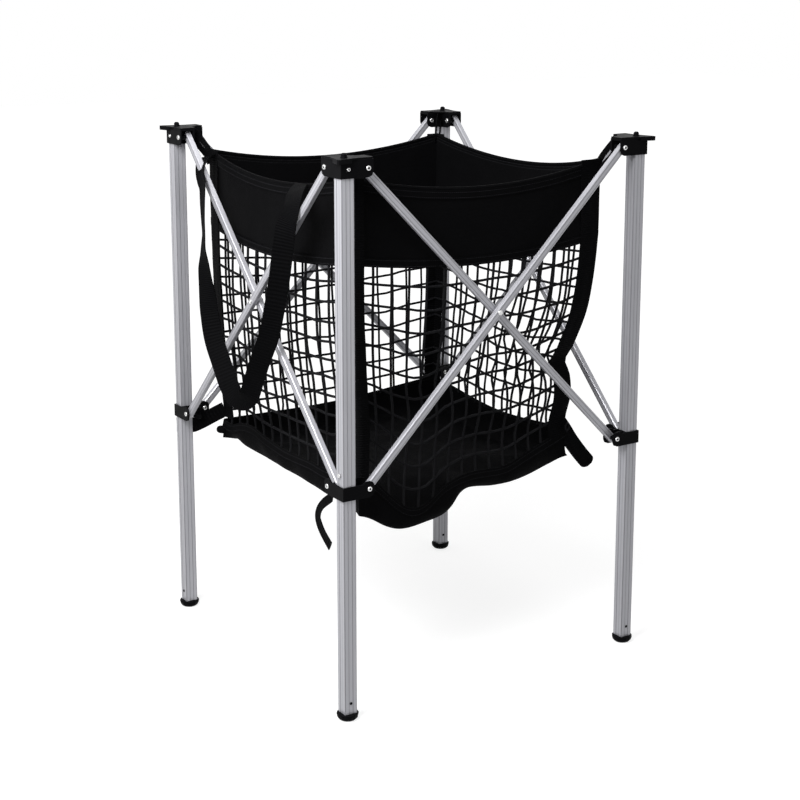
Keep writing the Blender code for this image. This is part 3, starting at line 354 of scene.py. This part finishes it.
def metal(name, color, dark, roughness, tilt=(0, 0, 0), groove_shade=None, metallic=0.30):
    """Drawn metal: fine lines along local Z after a tilt, faint smudges, and painted shade as dark lines
    beside the grooves and edges of its faces.
    """
    material, tree, shader = shaded(name)
    place = node(tree, "TexCoord").outputs["Object"]
    turned_place = node(tree, "Mapping", Vector=place, Rotation=tilt).outputs[0]
    drawn = node(tree, "Mapping", Vector=turned_place, Scale=(900, 900, 6)).outputs[0]
    lines = node(tree, "TexNoise", Vector=drawn, Scale=1.0, Detail=3.0).outputs[0]
    smudge = node(tree, "TexNoise", Vector=place, Scale=9.0, Detail=4.0).outputs[0]
    both = math_node(tree, 'MULTIPLY_ADD', lines, 0.6, math_node(tree, 'MULTIPLY', smudge, 0.4))
    surface = mixed_color(tree, both, dark, color)
    # painted shade: darker lines beside the faces' grooves and edges, where shade would fall
    if groove_shade:
        surface = mixed_color(tree, groove_shade(tree, place), surface, GROOVE_SHADE_COLOR)
    tree.links.new(surface, shader.inputs["Base Color"])
    rough = node(tree, "MapRange", Value=both, i1=0.3, i2=0.7, i3=roughness * 0.85, i4=roughness * 1.15)
    tree.links.new(rough.outputs[0], shader.inputs["Roughness"])
    bump = node(tree, "Bump", Height=lines, Strength=0.06, Distance=0.0002).outputs[0]
    tree.links.new(bump, shader.inputs["Normal"])
    shader.inputs["Metallic"].default_value = metallic
    return material


def pulses(tree, coordinate, places):
    """Mask of soft painted shade lines where a coordinate is at one of some places."""
    lines = [node(tree, "MapRange", Value=away_from(tree, coordinate, place),
                  i1=0.0, i2=GROOVE_SHADE_WIDTH, i3=GROOVE_SHADE_STRENGTH, i4=0.0).outputs[0] for place in places]
    return masks_joined(tree, lines)


def leg_groove_shade(tree, place):
    """Mask of painted shade lines beside a leg's grooves and edges, on all four legs alike."""
    mirrored = node(tree, "VectorMath", {"operation": 'ABSOLUTE'}, i0=place).outputs[0]
    axes = node(tree, "SeparateXYZ", Vector=mirrored).outputs
    nearest = math_node(tree, 'MINIMUM', away_from(tree, axes[0], HALF), away_from(tree, axes[1], HALF))
    return pulses(tree, nearest, LEG_SHADE_LINES)


def bar_groove_shade(tilt):
    """Mask of painted shade lines along a bar's broad faces, from its tilt about X or about Y."""
    turn = Matrix.Rotation(tilt[0], 3, 'X') @ Matrix.Rotation(tilt[1], 3, 'Y')
    back = -(turn @ Vector((0, 0, CROSS_HEIGHT)))

    def groove_shade(tree, place):
        level = node(tree, "Mapping", Vector=place, Rotation=tilt, Location=tuple(back)).outputs[0]
        across = node(tree, "SeparateXYZ", Vector=level).outputs[0 if tilt[1] else 1]
        return pulses(tree, math_node(tree, 'ABSOLUTE', across), BAR_SHADE_LINES)
    return groove_shade


def plastic(name):
    """Moulded black plastic: fine grain, softened edges that are rubbed a little lighter."""
    material, tree, shader = shaded(name)
    place = node(tree, "TexCoord").outputs["Object"]
    grain = node(tree, "TexNoise", Vector=place, Scale=1400.0, Detail=2.0).outputs[0]
    rub = node(tree, "TexNoise", Vector=place, Scale=60.0, Detail=5.0).outputs[0]
    rounded = node(tree, "Bevel", {"samples": 6}, Radius=0.0009).outputs[0]
    flat = node(tree, "NewGeometry").outputs["Normal"]
    edge = node(tree, "VectorMath", {"operation": 'DISTANCE'}, i0=rounded, i1=flat).outputs["Value"]
    worn = math_node(tree, 'MULTIPLY', math_node(tree, 'MINIMUM', edge, 1.0), rub)
    tree.links.new(mixed_color(tree, worn, PLASTIC, PLASTIC_RUBBED), shader.inputs["Base Color"])
    rough = node(tree, "MapRange", Value=rub, i1=0.3, i2=0.7, i3=0.36, i4=0.50).outputs[0]
    tree.links.new(rough, shader.inputs["Roughness"])
    bump = node(tree, "Bump", Height=grain, Strength=0.15, Distance=0.0002, Normal=rounded).outputs[0]
    tree.links.new(bump, shader.inputs["Normal"])
    shader.inputs["Specular IOR Level"].default_value = PLASTIC_SHINE
    return material


def stripes(tree, coordinate, period):
    """Even ridges across a coordinate in metres, from 0 to 1."""
    phase = math_node(tree, 'MULTIPLY', coordinate, 2 * math.pi / period)
    return math_node(tree, 'MULTIPLY_ADD', math_node(tree, 'SINE', phase), 0.5, 0.5)


def stitched(tree, u, v, rows):
    """Mask of dashed thread at these v distances, with its dashes along u."""
    stitch_place = math_node(tree, 'FRACT', math_node(tree, 'DIVIDE', u, STITCH))
    dash = math_node(tree, 'LESS_THAN', stitch_place, STITCH_SEEN)
    lines = [math_node(tree, 'LESS_THAN', away_from(tree, v, row), STITCH_RADIUS) for row in rows]
    return math_node(tree, 'MULTIPLY', masks_joined(tree, lines), dash)


def woven(name, color, rows=(), rib=0.0, crumple=0.0016):
    """Cloth or webbing by its UV in metres: a plain weave, ribs, rows of stitches and soft crumples."""
    material, tree, shader = shaded(name)
    uv = node(tree, "SeparateXYZ", Vector=node(tree, "TexCoord").outputs["UV"])
    u, v = uv.outputs[0], uv.outputs[1]
    place = node(tree, "TexCoord").outputs["Object"]
    threads = math_node(tree, 'MULTIPLY', stripes(tree, u, WEAVE), stripes(tree, v, WEAVE))
    relief = math_node(tree, 'MULTIPLY', threads, 0.0001)
    if rib:
        ribs = stripes(tree, v, rib)
        relief = math_node(tree, 'MULTIPLY_ADD', ribs, 0.0006, relief)
        threads = math_node(tree, 'MULTIPLY_ADD', ribs, 0.6, math_node(tree, 'MULTIPLY', threads, 0.4))
    patch = node(tree, "TexNoise", Vector=place, Scale=17.0, Detail=5.0, Roughness=0.55).outputs[0]
    relief = math_node(tree, 'MULTIPLY_ADD', patch, crumple, relief)
    tone = math_node(tree, 'MULTIPLY_ADD', threads, 0.55, math_node(tree, 'MULTIPLY', patch, 0.45))
    surface = mixed_color(tree, tone, color, CLOTH_LIGHT)
    if rows:
        thread = stitched(tree, u, v, rows)
        surface = mixed_color(tree, thread, surface, THREAD)
        relief = math_node(tree, 'MULTIPLY_ADD', thread, 0.0004, relief)
    tree.links.new(surface, shader.inputs["Base Color"])
    bump = node(tree, "Bump", Height=relief, Strength=1.0, Distance=1.0).outputs[0]
    tree.links.new(bump, shader.inputs["Normal"])
    shader.inputs["Roughness"].default_value = CLOTH_ROUGHNESS
    shader.inputs["Specular IOR Level"].default_value = CLOTH_SHINE
    return material


def braided(name):
    """Black cord with a fine slanting braid."""
    material, tree, shader = shaded(name)
    place = node(tree, "TexCoord").outputs["Object"]
    turned_place = node(tree, "Mapping", Vector=place, Rotation=(0.6, 0.5, 0.4)).outputs[0]
    wave = node(tree, "TexWave", Vector=turned_place, Scale=260.0, Distortion=1.5, Detail=2.0).outputs["Fac"]
    tree.links.new(mixed_color(tree, wave, CORD, CORD_LIGHT), shader.inputs["Base Color"])
    bump = node(tree, "Bump", Height=wave, Strength=0.5, Distance=0.0005).outputs[0]
    tree.links.new(bump, shader.inputs["Normal"])
    shader.inputs["Roughness"].default_value = CORD_ROUGHNESS
    shader.inputs["Specular IOR Level"].default_value = CORD_SHINE
    return material


def piece(name, bm, material, body, thickness=0):
    """New piece from a mesh in the row frame, carried by a body. A thickness makes a sheet solid."""
    mesh = bpy.data.meshes.new(name)
    bm.to_mesh(mesh)
    bm.free()
    made = bpy.data.objects.new(name, mesh)
    bpy.context.scene.collection.objects.link(made)
    mesh.materials.append(material)
    mesh.shade_smooth()
    if thickness:
        solidify = made.modifiers.new("thickness", 'SOLIDIFY')
        solidify.thickness = thickness
        solidify.offset = 0
    else:
        mesh.set_sharp_from_angle(angle=math.radians(40))
    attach(made, body)
    return made


def finish_mesh(made):
    """Replace a piece's mesh by its modified shape."""
    graph = bpy.context.evaluated_depsgraph_get()
    mesh = bpy.data.meshes.new_from_object(made.evaluated_get(graph))
    made.modifiers.clear()
    made.data = mesh
    mesh.set_sharp_from_angle(angle=math.radians(60))
    return made


def around(turns, point):
    """Point carried round the cart by quarter turns."""
    return Matrix.Rotation(turns * QUARTER, 3, 'Z') @ Vector(point)


def gather(made, side):
    """Give a piece of one side of the bag a mesh of its own."""
    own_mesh(made)
    return made


def ease(value):
    """Smooth step from 0 to 1."""
    value = min(max(value, 0), 1)
    return value * value * (3 - 2 * value)


def curve_through(stations, place):
    """Value at a place on a smooth curve through (place, value) stations."""
    last = len(stations) - 1
    index = 0
    while index < last - 1 and place > stations[index + 1][0]:
        index += 1
    before, start, end, after = (stations[min(max(index + step, 0), last)] for step in (-1, 0, 1, 2))
    span = end[0] - start[0]
    t = min(max((place - start[0]) / span, 0), 1)
    leave = (end[1] - before[1]) / (end[0] - before[0]) * span
    arrive = (after[1] - start[1]) / (after[0] - start[0]) * span
    rise = end[1] - start[1]
    return start[1] + t * (leave + t * (3 * rise - 2 * leave - arrive + t * (leave + arrive - 2 * rise)))


def corner_distance(corner, height):
    """Distance of a bag corner from the middle along X and along Y."""
    return BAG_HALF_WIDTH - curve_through(CORNER_DRAW[corner % 4], height)


def bag_point(side, across, height, out=0):
    """Point on the bag's wall, turned to its side, with across from -1 to 1 between its corners."""
    left = corner_distance(side, height)
    right = corner_distance(side + 1, height)
    share = (across + 1) / 2
    bulge_share = math.sin(math.pi * (height - BULGE_LOW) / (BULGE_HIGH - BULGE_LOW))
    bulge = BAG_BULGE * (1 - across * across) * bulge_share
    x = -left + share * (left + right)
    y = -left + share * (left - right) - bulge - out
    return around(side, (x, y, height))


def band_top(across):
    return BAG_TOP - BAG_TOP_SAG * (1 - across * across)


def band_bottom(across):
    return BAND_BOTTOM - BAND_BOTTOM_SAG * (1 - across * across)


def floor_scale(across):
    """Width of the floor's edge as a share of the rim's: it reaches further out at the corners."""
    return FLOOR_SCALE + (CORNER_SCALE - FLOOR_SCALE) * across ** CORNER_POWER


def rim_height(side, across):
    """Height of the base's rim, which the netting reaches down to."""
    return curve_through(RIM_HEIGHTS[side], across)


def base_foot(side, across):
    """Point where the base's wall turns under and its floor starts."""
    height = curve_through(FOOT_HEIGHTS[side], across)
    point = bag_point(side, across, BULGE_LOW) * floor_scale(across)
    return Vector((point.x, point.y, height))


def crease(point, grain, size):
    """Smooth unevenness of cloth at a point."""
    return size * noise.noise(Vector(point) * grain)


def surface_grid(columns, rows, surface, flat):
    """Grid whose points come from surface(a, b), with a and b from -1 to 1, and whose UV is in metres."""
    bm = bmesh.new()
    layer = bm.loops.layers.uv.new("UVMap")
    bmesh.ops.create_grid(bm, x_segments=columns, y_segments=rows, size=1)
    for face in bm.faces:
        for loop in face.loops:
            x, y, _ = loop.vert.co
            loop[layer].uv = ((x + 1) / 2 * flat[0], (y + 1) / 2 * flat[1])
    for vert in bm.verts:
        vert.co = surface(vert.co.x, vert.co.y)
    bm.normal_update()
    return bm


def turned(profile, steps, matrix):
    """Solid turned about Z from (radius, height) points with both ends on the axis, moved into place."""
    bm = bmesh.new()
    points = [bm.verts.new((radius, 0, height)) for radius, height in profile]
    edges = [bm.edges.new(pair) for pair in zip(points, points[1:])]
    bmesh.ops.spin(bm, geom=points + edges, axis=(0, 0, 1), angle=2 * math.pi, steps=steps, use_merge=True)
    bmesh.ops.remove_doubles(bm, verts=bm.verts, dist=0.00001)
    bmesh.ops.recalc_face_normals(bm, faces=bm.faces)
    bmesh.ops.transform(bm, matrix=matrix, verts=bm.verts)
    return bm


def add_to(bm, other):
    """Put another mesh into this one."""
    mesh = bpy.data.meshes.new("part")
    other.to_mesh(mesh)
    other.free()
    bm.from_mesh(mesh)
    bpy.data.meshes.remove(mesh)


def cords(name, routes, radius, closed=False):
    """Mesh of round cords along routes of points."""
    curve = bpy.data.curves.new(name, 'CURVE')
    curve.dimensions = '3D'
    curve.bevel_depth = radius
    curve.bevel_resolution = 1
    curve.use_fill_caps = True
    for route in routes:
        spline = curve.splines.new('POLY')
        spline.points.add(len(route) - 1)
        for point, place in zip(spline.points, route):
            point.co = (*place, 1)
        spline.use_cyclic_u = closed
    drawn = bpy.data.objects.new(name, curve)
    bpy.context.scene.collection.objects.link(drawn)
    graph = bpy.context.evaluated_depsgraph_get()
    mesh = bpy.data.meshes.new_from_object(drawn.evaluated_get(graph))
    bm = bmesh.new()
    bm.from_mesh(mesh)
    for waste, store in ((mesh, bpy.data.meshes), (drawn, bpy.data.objects), (curve, bpy.data.curves)):
        store.remove(waste)
    bmesh.ops.recalc_face_normals(bm, faces=bm.faces)
    return bm


def smooth_route(points, spans):
    """Points on a smooth curve through the given ones."""
    points = [Vector(point) for point in points]
    padded = [2 * points[0] - points[1], *points, 2 * points[-1] - points[-2]]
    route = []
    for before, start, end, after in zip(padded, padded[1:], padded[2:], padded[3:]):
        for span in range(spans):
            t = span / spans
            route.append(0.5 * (2 * start + (end - before) * t
                                + (2 * before - 5 * start + 4 * end - after) * t * t
                                + (3 * start - before - 3 * end + after) * t * t * t))
    return [*route, points[-1]]


def strap(name, points, faces, width, body, rests_on, spans=6, hem=None, tip=None):
    """Webbing along a route, square to the direction that its face looks in at each point.

    Its last end can turn so that its edge lies along a hem, or be rounded by a tip radius.
    """
    points = smooth_route(points, spans)
    faces = smooth_route(faces, spans)
    last = len(points) - 1
    length = sum((end - start).length for start, end in zip(points, points[1:]))

    def surface(a, b):
        index = round((b + 1) / 2 * last)
        along = points[min(index + 1, last)] - points[max(index - 1, 0)]
        across = along.cross(faces[index]).normalized()
        if hem:
            across = across.lerp(hem, ease(1 - (last - index) / HEM_STEPS)).normalized()
        hollow = along.normalized().cross(across) * (STRAP_HOLLOW * (1 - a * a))
        rounding = 1
        if tip:
            past = max(tip - (points[last] - points[index]).length, 0) / tip
            rounding = max(1 - past * past, TIP_SHARE) ** 0.5
        return points[index] + across * (a * width / 2 * rounding) + hollow

    bm = surface_grid(6, last, surface, (width, length))
    made = finish_mesh(piece(name, bm, webbing, body, WEBBING))
    return made


def place_matrix(turns, x, y, z, facing):
    """Frame at a corner's (x, y) offset from its leg's axis with +Z facing out along a turn from +X."""
    spot = around(turns, (x - HALF, y - HALF, z))
    aim = Matrix.Rotation((turns + facing) * QUARTER, 4, 'Z') @ Matrix.Rotation(QUARTER, 4, 'Y')
    return Matrix.Translation(spot) @ aim


upright = metal("aluminium_upright", ALUMINIUM, ALUMINIUM_DARK, ALUMINIUM_ROUGHNESS, groove_shade=leg_groove_shade)
BAR_TILTS = {                  # turns each bar's length onto Z, for the lines that drawing leaves on it
    "inner_bar_front_right": (0, math.pi / 4, 0), "outer_bar_front_right": (0, -math.pi / 4, 0),
    "inner_bar_right_back": (-math.pi / 4, 0, 0), "outer_bar_right_back": (math.pi / 4, 0, 0),
    "inner_bar_back_left": (0, -math.pi / 4, 0), "outer_bar_back_left": (0, math.pi / 4, 0),
    "inner_bar_left_front": (math.pi / 4, 0, 0), "outer_bar_left_front": (-math.pi / 4, 0, 0),
}
slanted = {tilt: metal("aluminium_slanted", ALUMINIUM, ALUMINIUM_DARK, ALUMINIUM_ROUGHNESS, tilt,
                       bar_groove_shade(tilt))
           for tilt in BAR_TILTS.values()}
steel = metal("bright_steel", STEEL, STEEL_DARK, STEEL_ROUGHNESS, metallic=0.9)
black_plastic = plastic("black_plastic")
webbing = woven("webbing", (0.0012, 0.0012, 0.0014), rib=RIB, crumple=0.0006)
band_cloth = woven("band_cloth", (0.0018, 0.0018, 0.0020), rows=BAND_ROWS)
base_cloth = woven("base_cloth", (0.0016, 0.0016, 0.0018), crumple=0.0022)
binding = woven("binding", (0.0014, 0.0014, 0.0016), rows=BINDING_ROWS, crumple=0.0003)
cord = braided("net_cord")

for corner in CORNERS:
    for prefix, material in (("leg_", upright), ("foot_", black_plastic), ("top_bracket_", black_plastic),
                             ("cap_plate_", black_plastic), ("cap_screw_", black_plastic),
                             ("slider_", black_plastic), ("snap_button_", steel)):
        frame["nodes"][prefix + corner].material_slots[0].material = material
for side in SIDES:
    frame["nodes"]["crossing_pin_" + side].material_slots[0].material = steel
for bar, tilt in BAR_TILTS.items():
    frame["nodes"][bar].material_slots[0].material = slanted[tilt]


def rivets(name, body, seats):
    """Bright dished rivet heads, each given as its place and its radius and height."""
    bm = bmesh.new()
    for matrix, (radius, height) in seats:
        profile = [(radius * out, height * up) for out, up in HEAD_PROFILE]
        add_to(bm, turned(profile, HEAD_STEPS, matrix))
    piece(name, bm, steel, body)


for turns, corner in enumerate(CORNERS):
    for part, height in (("leg", TOP_PIN_HEIGHT), ("slider", SLIDER_PIN_HEIGHT)):
        seats = [(place_matrix(turns, x, y, height, facing), PIN_HEAD) for x, y, facing in PIN_SEATS]
        if part == "leg":
            seats.append((place_matrix(turns, 0, -SLEEVE_OUTER, height, 3), BRACKET_HEAD))
        rivets(f"rivets_{part}_{corner}", f"{corner}_{part}", seats)
for turns, side in enumerate(SIDES):
    seats = [(place_matrix(turns, HALF, sign * CROSS_GRIP, CROSS_HEIGHT, facing), CROSS_HEAD)
             for sign, facing in ((-1, 3), (1, 1))]
    rivets("crossing_rivets_" + side, side + "_outer", seats)


def wall_piece(name, side, material, columns, rows, flat, low, high, out, thickness, rough):
    """Strip of a bag wall between two edges, which are functions of the place across it.

    It has a rough share of the wall's creases.
    """
    grain, size = WALL_CREASES

    def surface(a, b):
        height = low(a) + (high(a) - low(a)) * (b + 1) / 2
        point = bag_point(side, a, height)
        if a < 0:
            slant = (point.x + point.y, 0.25 * point.z, side + point.z)
        else:
            slant = (point.x - point.y, side, 1.25 * point.z)
        pulled = crease(slant, PULL_GRAIN, rough * size * abs(a))
        return bag_point(side, a, height, out + pulled + crease(point, grain, rough * size))

    bm = surface_grid(columns, rows, surface, flat)
    made = finish_mesh(piece(name + SIDES[side], bm, material, SIDE_RIDES[side][0], thickness))
    return gather(made, side)


def edge_binding(name, side, rows, length, edge, below, above, depth, rough=0):
    """Webbing sewn over the cloth along an edge of a bag wall, from below that edge to above it."""
    return wall_piece(name, side, binding, 48, rows, (length, depth), lambda a: edge(a) - below,
                      lambda a: edge(a) + above, BINDING_OUT, WEBBING, rough)


def build_hem(side):
    """Rolled hem along the top of a band."""
    places = [index / 20 - 1 for index in range(41)]
    route = [bag_point(side, a, band_top(a) - HEM_DROP) for a in places]
    bm = cords("hem", [route], HEM_RADIUS)
    made = piece("top_hem_" + SIDES[side], bm, binding, SIDE_RIDES[side][0])
    return gather(made, side)


def net_point(side, a, share):
    """Point of the net, from 0 at the base's rim to 1 at the band, with the slack of real cords."""
    rim = rim_height(side, a)
    height = rim + (band_bottom(a) - rim) * share
    free = (1 - a * a) ** 0.5 * math.sin(math.pi * min(share, NET_SEAM))
    long_waves = noise.noise_vector(Vector((a * 2.6 + side * 7.1, share * 2.4, side)))
    short_waves = noise.noise_vector(Vector((a * 9.0, share * 9.0 + side * 5.3, side)))
    stray = free * (LONG_SLACK * long_waves + SHORT_SLACK * short_waves)
    return bag_point(side, a + stray.x, height + stray.z, stray.y)


def build_net(side):
    """Square netting of knotted cords."""
    columns = [2 * index / NET_COLUMNS - 1 for index in range(1, NET_COLUMNS)]
    rows = [index / NET_ROWS for index in range(1, NET_ROWS)]
    down, along = 2 * NET_ROWS, 2 * NET_COLUMNS
    routes = [[net_point(side, a, index / down) for index in range(down + 1)] for a in columns]
    routes += [[net_point(side, 2 * index / along - 1, share) for index in range(along + 1)]
               for share in rows]
    bm = cords("cords", routes, CORD_RADIUS)
    turn_and_size = Matrix.Rotation(side * QUARTER, 4, 'Z') @ Matrix.Diagonal(KNOT_SIZE)
    for a in columns:
        for share in rows:
            knot = Matrix.Translation(net_point(side, a, share)) @ turn_and_size
            bmesh.ops.create_icosphere(bm, subdivisions=1, radius=1, matrix=knot)
    made = piece("netting_" + SIDES[side], bm, cord, SIDE_RIDES[side][0])
    return gather(made, side)


for side, name in enumerate(SIDES):
    band = wall_piece("bag_band_", side, band_cloth, 64, 14, BAND_SIZE, band_bottom, band_top, 0,
                      CLOTH, 1)
    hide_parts("band_" + name)
    upper = edge_binding("hem_binding_", side, 4, BAND_SIZE[0], band_top, HEM_BINDING, -HEM_DROP,
                         HEM_BINDING, rough=1)
    hem = build_hem(side)
    lower = edge_binding("band_binding_", side, 3, BAND_SIZE[0], band_bottom, BAND_BINDING / 2,
                         BAND_BINDING / 2, BAND_BINDING)
    netting = build_net(side)
    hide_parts("net_" + name)
    edge_binding("rim_binding_", side, 3, RIM_BINDING_LENGTH, lambda a: rim_height(side, a), RIM_BELOW,
                 RIM_ABOVE, RIM_BELOW + RIM_ABOVE)


def corner_strip(corner):
    """Webbing folded round the bag's upright edge, from its top to the base's rim."""
    before, after = CORNER_BINDING[corner]
    low, high = CORNER_BINDING_ENDS

    def surface(a, b):
        height = low + (high - low) * (b + 1) / 2
        width = corner_distance(corner, height) + BAG_HALF_WIDTH
        place = -before + (before + after) * (a + 1) / 2
        out = CORNER_BINDING_OUT + crease((place * 3, height, corner), *CORNER_CREASES)
        if place < 0:
            return bag_point((corner + 3) % 4, 1 + 2 * place / width, height, out)
        return bag_point(corner, -1 + 2 * place / width, height, out)

    bm = surface_grid(12, 48, surface, (before + after, CORNER_BINDING_LENGTH))
    name = CORNERS[corner]
    finish_mesh(piece("corner_binding_" + name, bm, webbing, name + "_leg", WEBBING))


for corner in range(4):
    corner_strip(corner)


def base_side(side):
    """Wall of the base, from its rim round to the floor."""
    def surface(a, b):
        fall = (1 - b) / 2
        rim = bag_point(side, a, rim_height(side, a) - RIM_LAP)
        foot = base_foot(side, a)
        turn_in = fall ** WALL_TURN
        point = Vector((rim.x + (foot.x - rim.x) * turn_in,
                        rim.y + (foot.y - rim.y) * turn_in,
                        rim.z + (foot.z - rim.z) * math.sin(fall * QUARTER)))
        inwards = crease(point, *BASE_CREASES) * math.sin(fall * math.pi)
        return point - around(side, (0, inwards, 0))

    bm = surface_grid(72, 14, surface, BASE_CUT)
    area = sum(face.calc_area() for face in bm.faces)
    name = SIDES[side]
    made = piece("base_wall_" + name, bm, base_cloth, SIDE_RIDES[side][0], CLOTH)
    finish_mesh(made)
    gather(made, side)


def square_point(s, t):
    """Point of the floor for (s, t) in a square from -1 to 1, with its folds."""
    ring = max(abs(s), abs(t), 0.001)
    if abs(t) >= abs(s):
        side, a = (0, s / ring) if t < 0 else (2, -s / ring)
    else:
        side, a = (1, t / ring) if s > 0 else (3, -t / ring)
    foot = base_foot(side, a)
    x, y = foot.x * ring, foot.y * ring
    fold = crease((x, y, 0), *FLOOR_FOLDS) + crease((x, y, 1), *FLOOR_CREASES)
    height = FLOOR_MIDDLE + (foot.z - FLOOR_MIDDLE) * ring ** FLOOR_DISH
    return Vector((x, y, height + fold * (1 - ring ** FLOOR_CALM)))


def gore(index):
    """Wedge of the floor from the front corner."""
    start = index / GORES * QUARTER
    end = (index + 1) / GORES * QUARTER

    def place(a, b):
        angle = start + (end - start) * (a + 1) / 2
        share = GORE_START + (1 - GORE_START) * (b + 1) / 2
        reach = 2 / max(math.cos(angle), math.sin(angle)) * share
        return square_point(-1 + reach * math.cos(angle), -1 + reach * math.sin(angle))

    along = place(0, 1) - place(0, -1)
    far_edge = place(1, 1) - place(-1, 1)
    flat = (far_edge.cross(along).length / along.length, along.length)
    bm = surface_grid(6, 90, place, flat)
    area = sum(face.calc_area() for face in bm.faces)
    made = finish_mesh(piece(f"base_floor_{index + 1}", bm, base_cloth, "front_leg", CLOTH))
    tuple(square_point(-1, -1))
    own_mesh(made)
    return made


for side in range(4):
    base_side(side)
floor_pieces = [gore(index) for index in range(GORES)]
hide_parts("base_panel")


def looking(turn, tilt):
    """Direction turned from -X about Z and tilted up, by angles in degrees."""
    aim = Matrix.Rotation(math.radians(turn), 3, 'Z') @ Matrix.Rotation(math.radians(tilt), 3, 'Y')
    return aim @ Vector((-1, 0, 0))


shoulder = strap("shoulder_strap", [place for place, _, _ in SHOULDER_ROUTE],
                 [looking(turn, tilt) for _, turn, tilt in SHOULDER_ROUTE], SHOULDER_WIDTH, "front_leg",
                 "bag_band_left_front", spans=8, hem=Vector((0, -1, 0)))
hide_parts("carry_strap")
gather(shoulder, SIDES.index("left_front"))

for turns, corner in enumerate(CORNERS):
    across = around(turns, (1, -1, 0)).normalized()
    inwards = around(turns, (1, 1, 0)).normalized()
    axis = around(turns, (-HALF, -HALF, 0))
    for strand, shift, stations in CORNER_STRANDS:
        points = [axis + inwards * reach + across * shift + Vector((0, 0, height))
                  for reach, height in stations]
        strap(f"corner_strap_{strand}_{corner}", points, [across] * len(points),
                           CORNER_STRAP_WIDTH, corner + "_leg", "top_bracket_" + corner)
    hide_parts("corner_webbing_" + corner)

for name, solid, body, under, side, width, tip, route in TIES:
    made = strap(name, *zip(*route), width, body, under, spans=10, tip=tip)
    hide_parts(solid)
    if side is not None:
        gather(made, side)

ring_angles = [2 * math.pi * step / RING_STEPS for step in range(RING_STEPS)]
ring = [RING_MIDDLE + RING_REACH * Vector((math.sin(angle), 0, math.cos(angle))) for angle in ring_angles]
ring_cord = cords("ring", [ring], RING_CORD_RADIUS, closed=True)
gather(piece("tie_ring_right", ring_cord, cord, "front_leg"), SIDES.index("front_right"))

bm = bmesh.new()
bmesh.ops.create_uvsphere(bm, u_segments=24, v_segments=14, radius=1)
tuck_turn = Matrix.Rotation(math.radians(-45), 4, 'Z')
tuck_place = Matrix.Translation(TUCK_MIDDLE) @ tuck_turn @ Matrix.Diagonal(TUCK_SIZE)
bmesh.ops.transform(bm, matrix=tuck_place, verts=bm.verts)
for vert in bm.verts:
    vert.co += vert.normal * crease(vert.co, *TUCK_CREASES)
piece("corner_tuck_left", bm, base_cloth, "left_leg")

camera_data = bpy.data.cameras.new("camera")
camera_data.lens = CAMERA_LENS
camera_data.shift_y = CAMERA_SHIFT
camera = bpy.data.objects.new("camera", camera_data)
camera.location = CAMERA_PLACE
camera.rotation_euler = (math.radians(90 - CAMERA_DOWN), 0, math.radians(-CAMERA_CLOCKWISE))
bpy.context.scene.collection.objects.link(camera)
bpy.context.scene.camera = camera

bm = bmesh.new()
bmesh.ops.create_grid(bm, x_segments=1, y_segments=1, size=STAGE_HALF)
floor_mesh = bpy.data.meshes.new("floor")
bm.to_mesh(floor_mesh)
bm.free()
floor = bpy.data.objects.new("floor", floor_mesh)
bpy.context.scene.collection.objects.link(floor)


def backdrop():
    """Floor that the camera sees as white, apart from the object's soft shadow."""
    material, tree, shader = shaded("floor_white")
    shader.inputs["Base Color"].default_value = (STAGE_GREY, STAGE_GREY, STAGE_GREY, 1)
    shader.inputs["Roughness"].default_value = 0.9
    path = node(tree, "LightPath")
    rays = ("Is Camera Ray", "Is Glossy Ray", "Is Transmission Ray")
    seen = masks_joined(tree, [path.outputs[ray] for ray in rays])
    place = node(tree, "TexCoord").outputs["Object"]
    away = node(tree, "VectorMath", {"operation": 'LENGTH'}, i0=place).outputs["Value"]
    glow = node(tree, "MapRange", Value=away, i1=GLOW_NEAR[0], i2=GLOW_FAR[0],
                i3=GLOW_NEAR[1], i4=GLOW_FAR[1])
    tree.links.new(math_node(tree, 'MULTIPLY', seen, glow.outputs[0]), shader.inputs["Emission Strength"])
    shader.inputs["Emission Color"].default_value = (1, 1, 1, 1)
    return material


floor_mesh.materials.append(backdrop())

world = bpy.data.worlds.new("studio")
bpy.context.scene.world = world
world.use_nodes = True
tree = world.node_tree
background = tree.nodes["Background"]
path = node(tree, "LightPath")
seen = math_node(tree, 'MAXIMUM', path.outputs["Is Camera Ray"], path.outputs["Is Glossy Ray"])
strength = node(tree, "MapRange", Value=seen, i3=WORLD_LIGHT, i4=WORLD_SEEN).outputs[0]
tree.links.new(strength, background.inputs["Strength"])
background.inputs["Color"].default_value = (1, 1, 1, 1)

for name, spot, size, power in LAMPS:
    lamp = bpy.data.lights.new(name, 'AREA')
    lamp.size = size
    lamp.energy = power
    held = bpy.data.objects.new(name, lamp)
    held.location = spot
    held.rotation_euler = (LIT_PLACE - Vector(spot)).to_track_quat('-Z', 'Y').to_euler()
    bpy.context.scene.collection.objects.link(held)

bpy.context.scene.view_settings.view_transform = 'Standard'
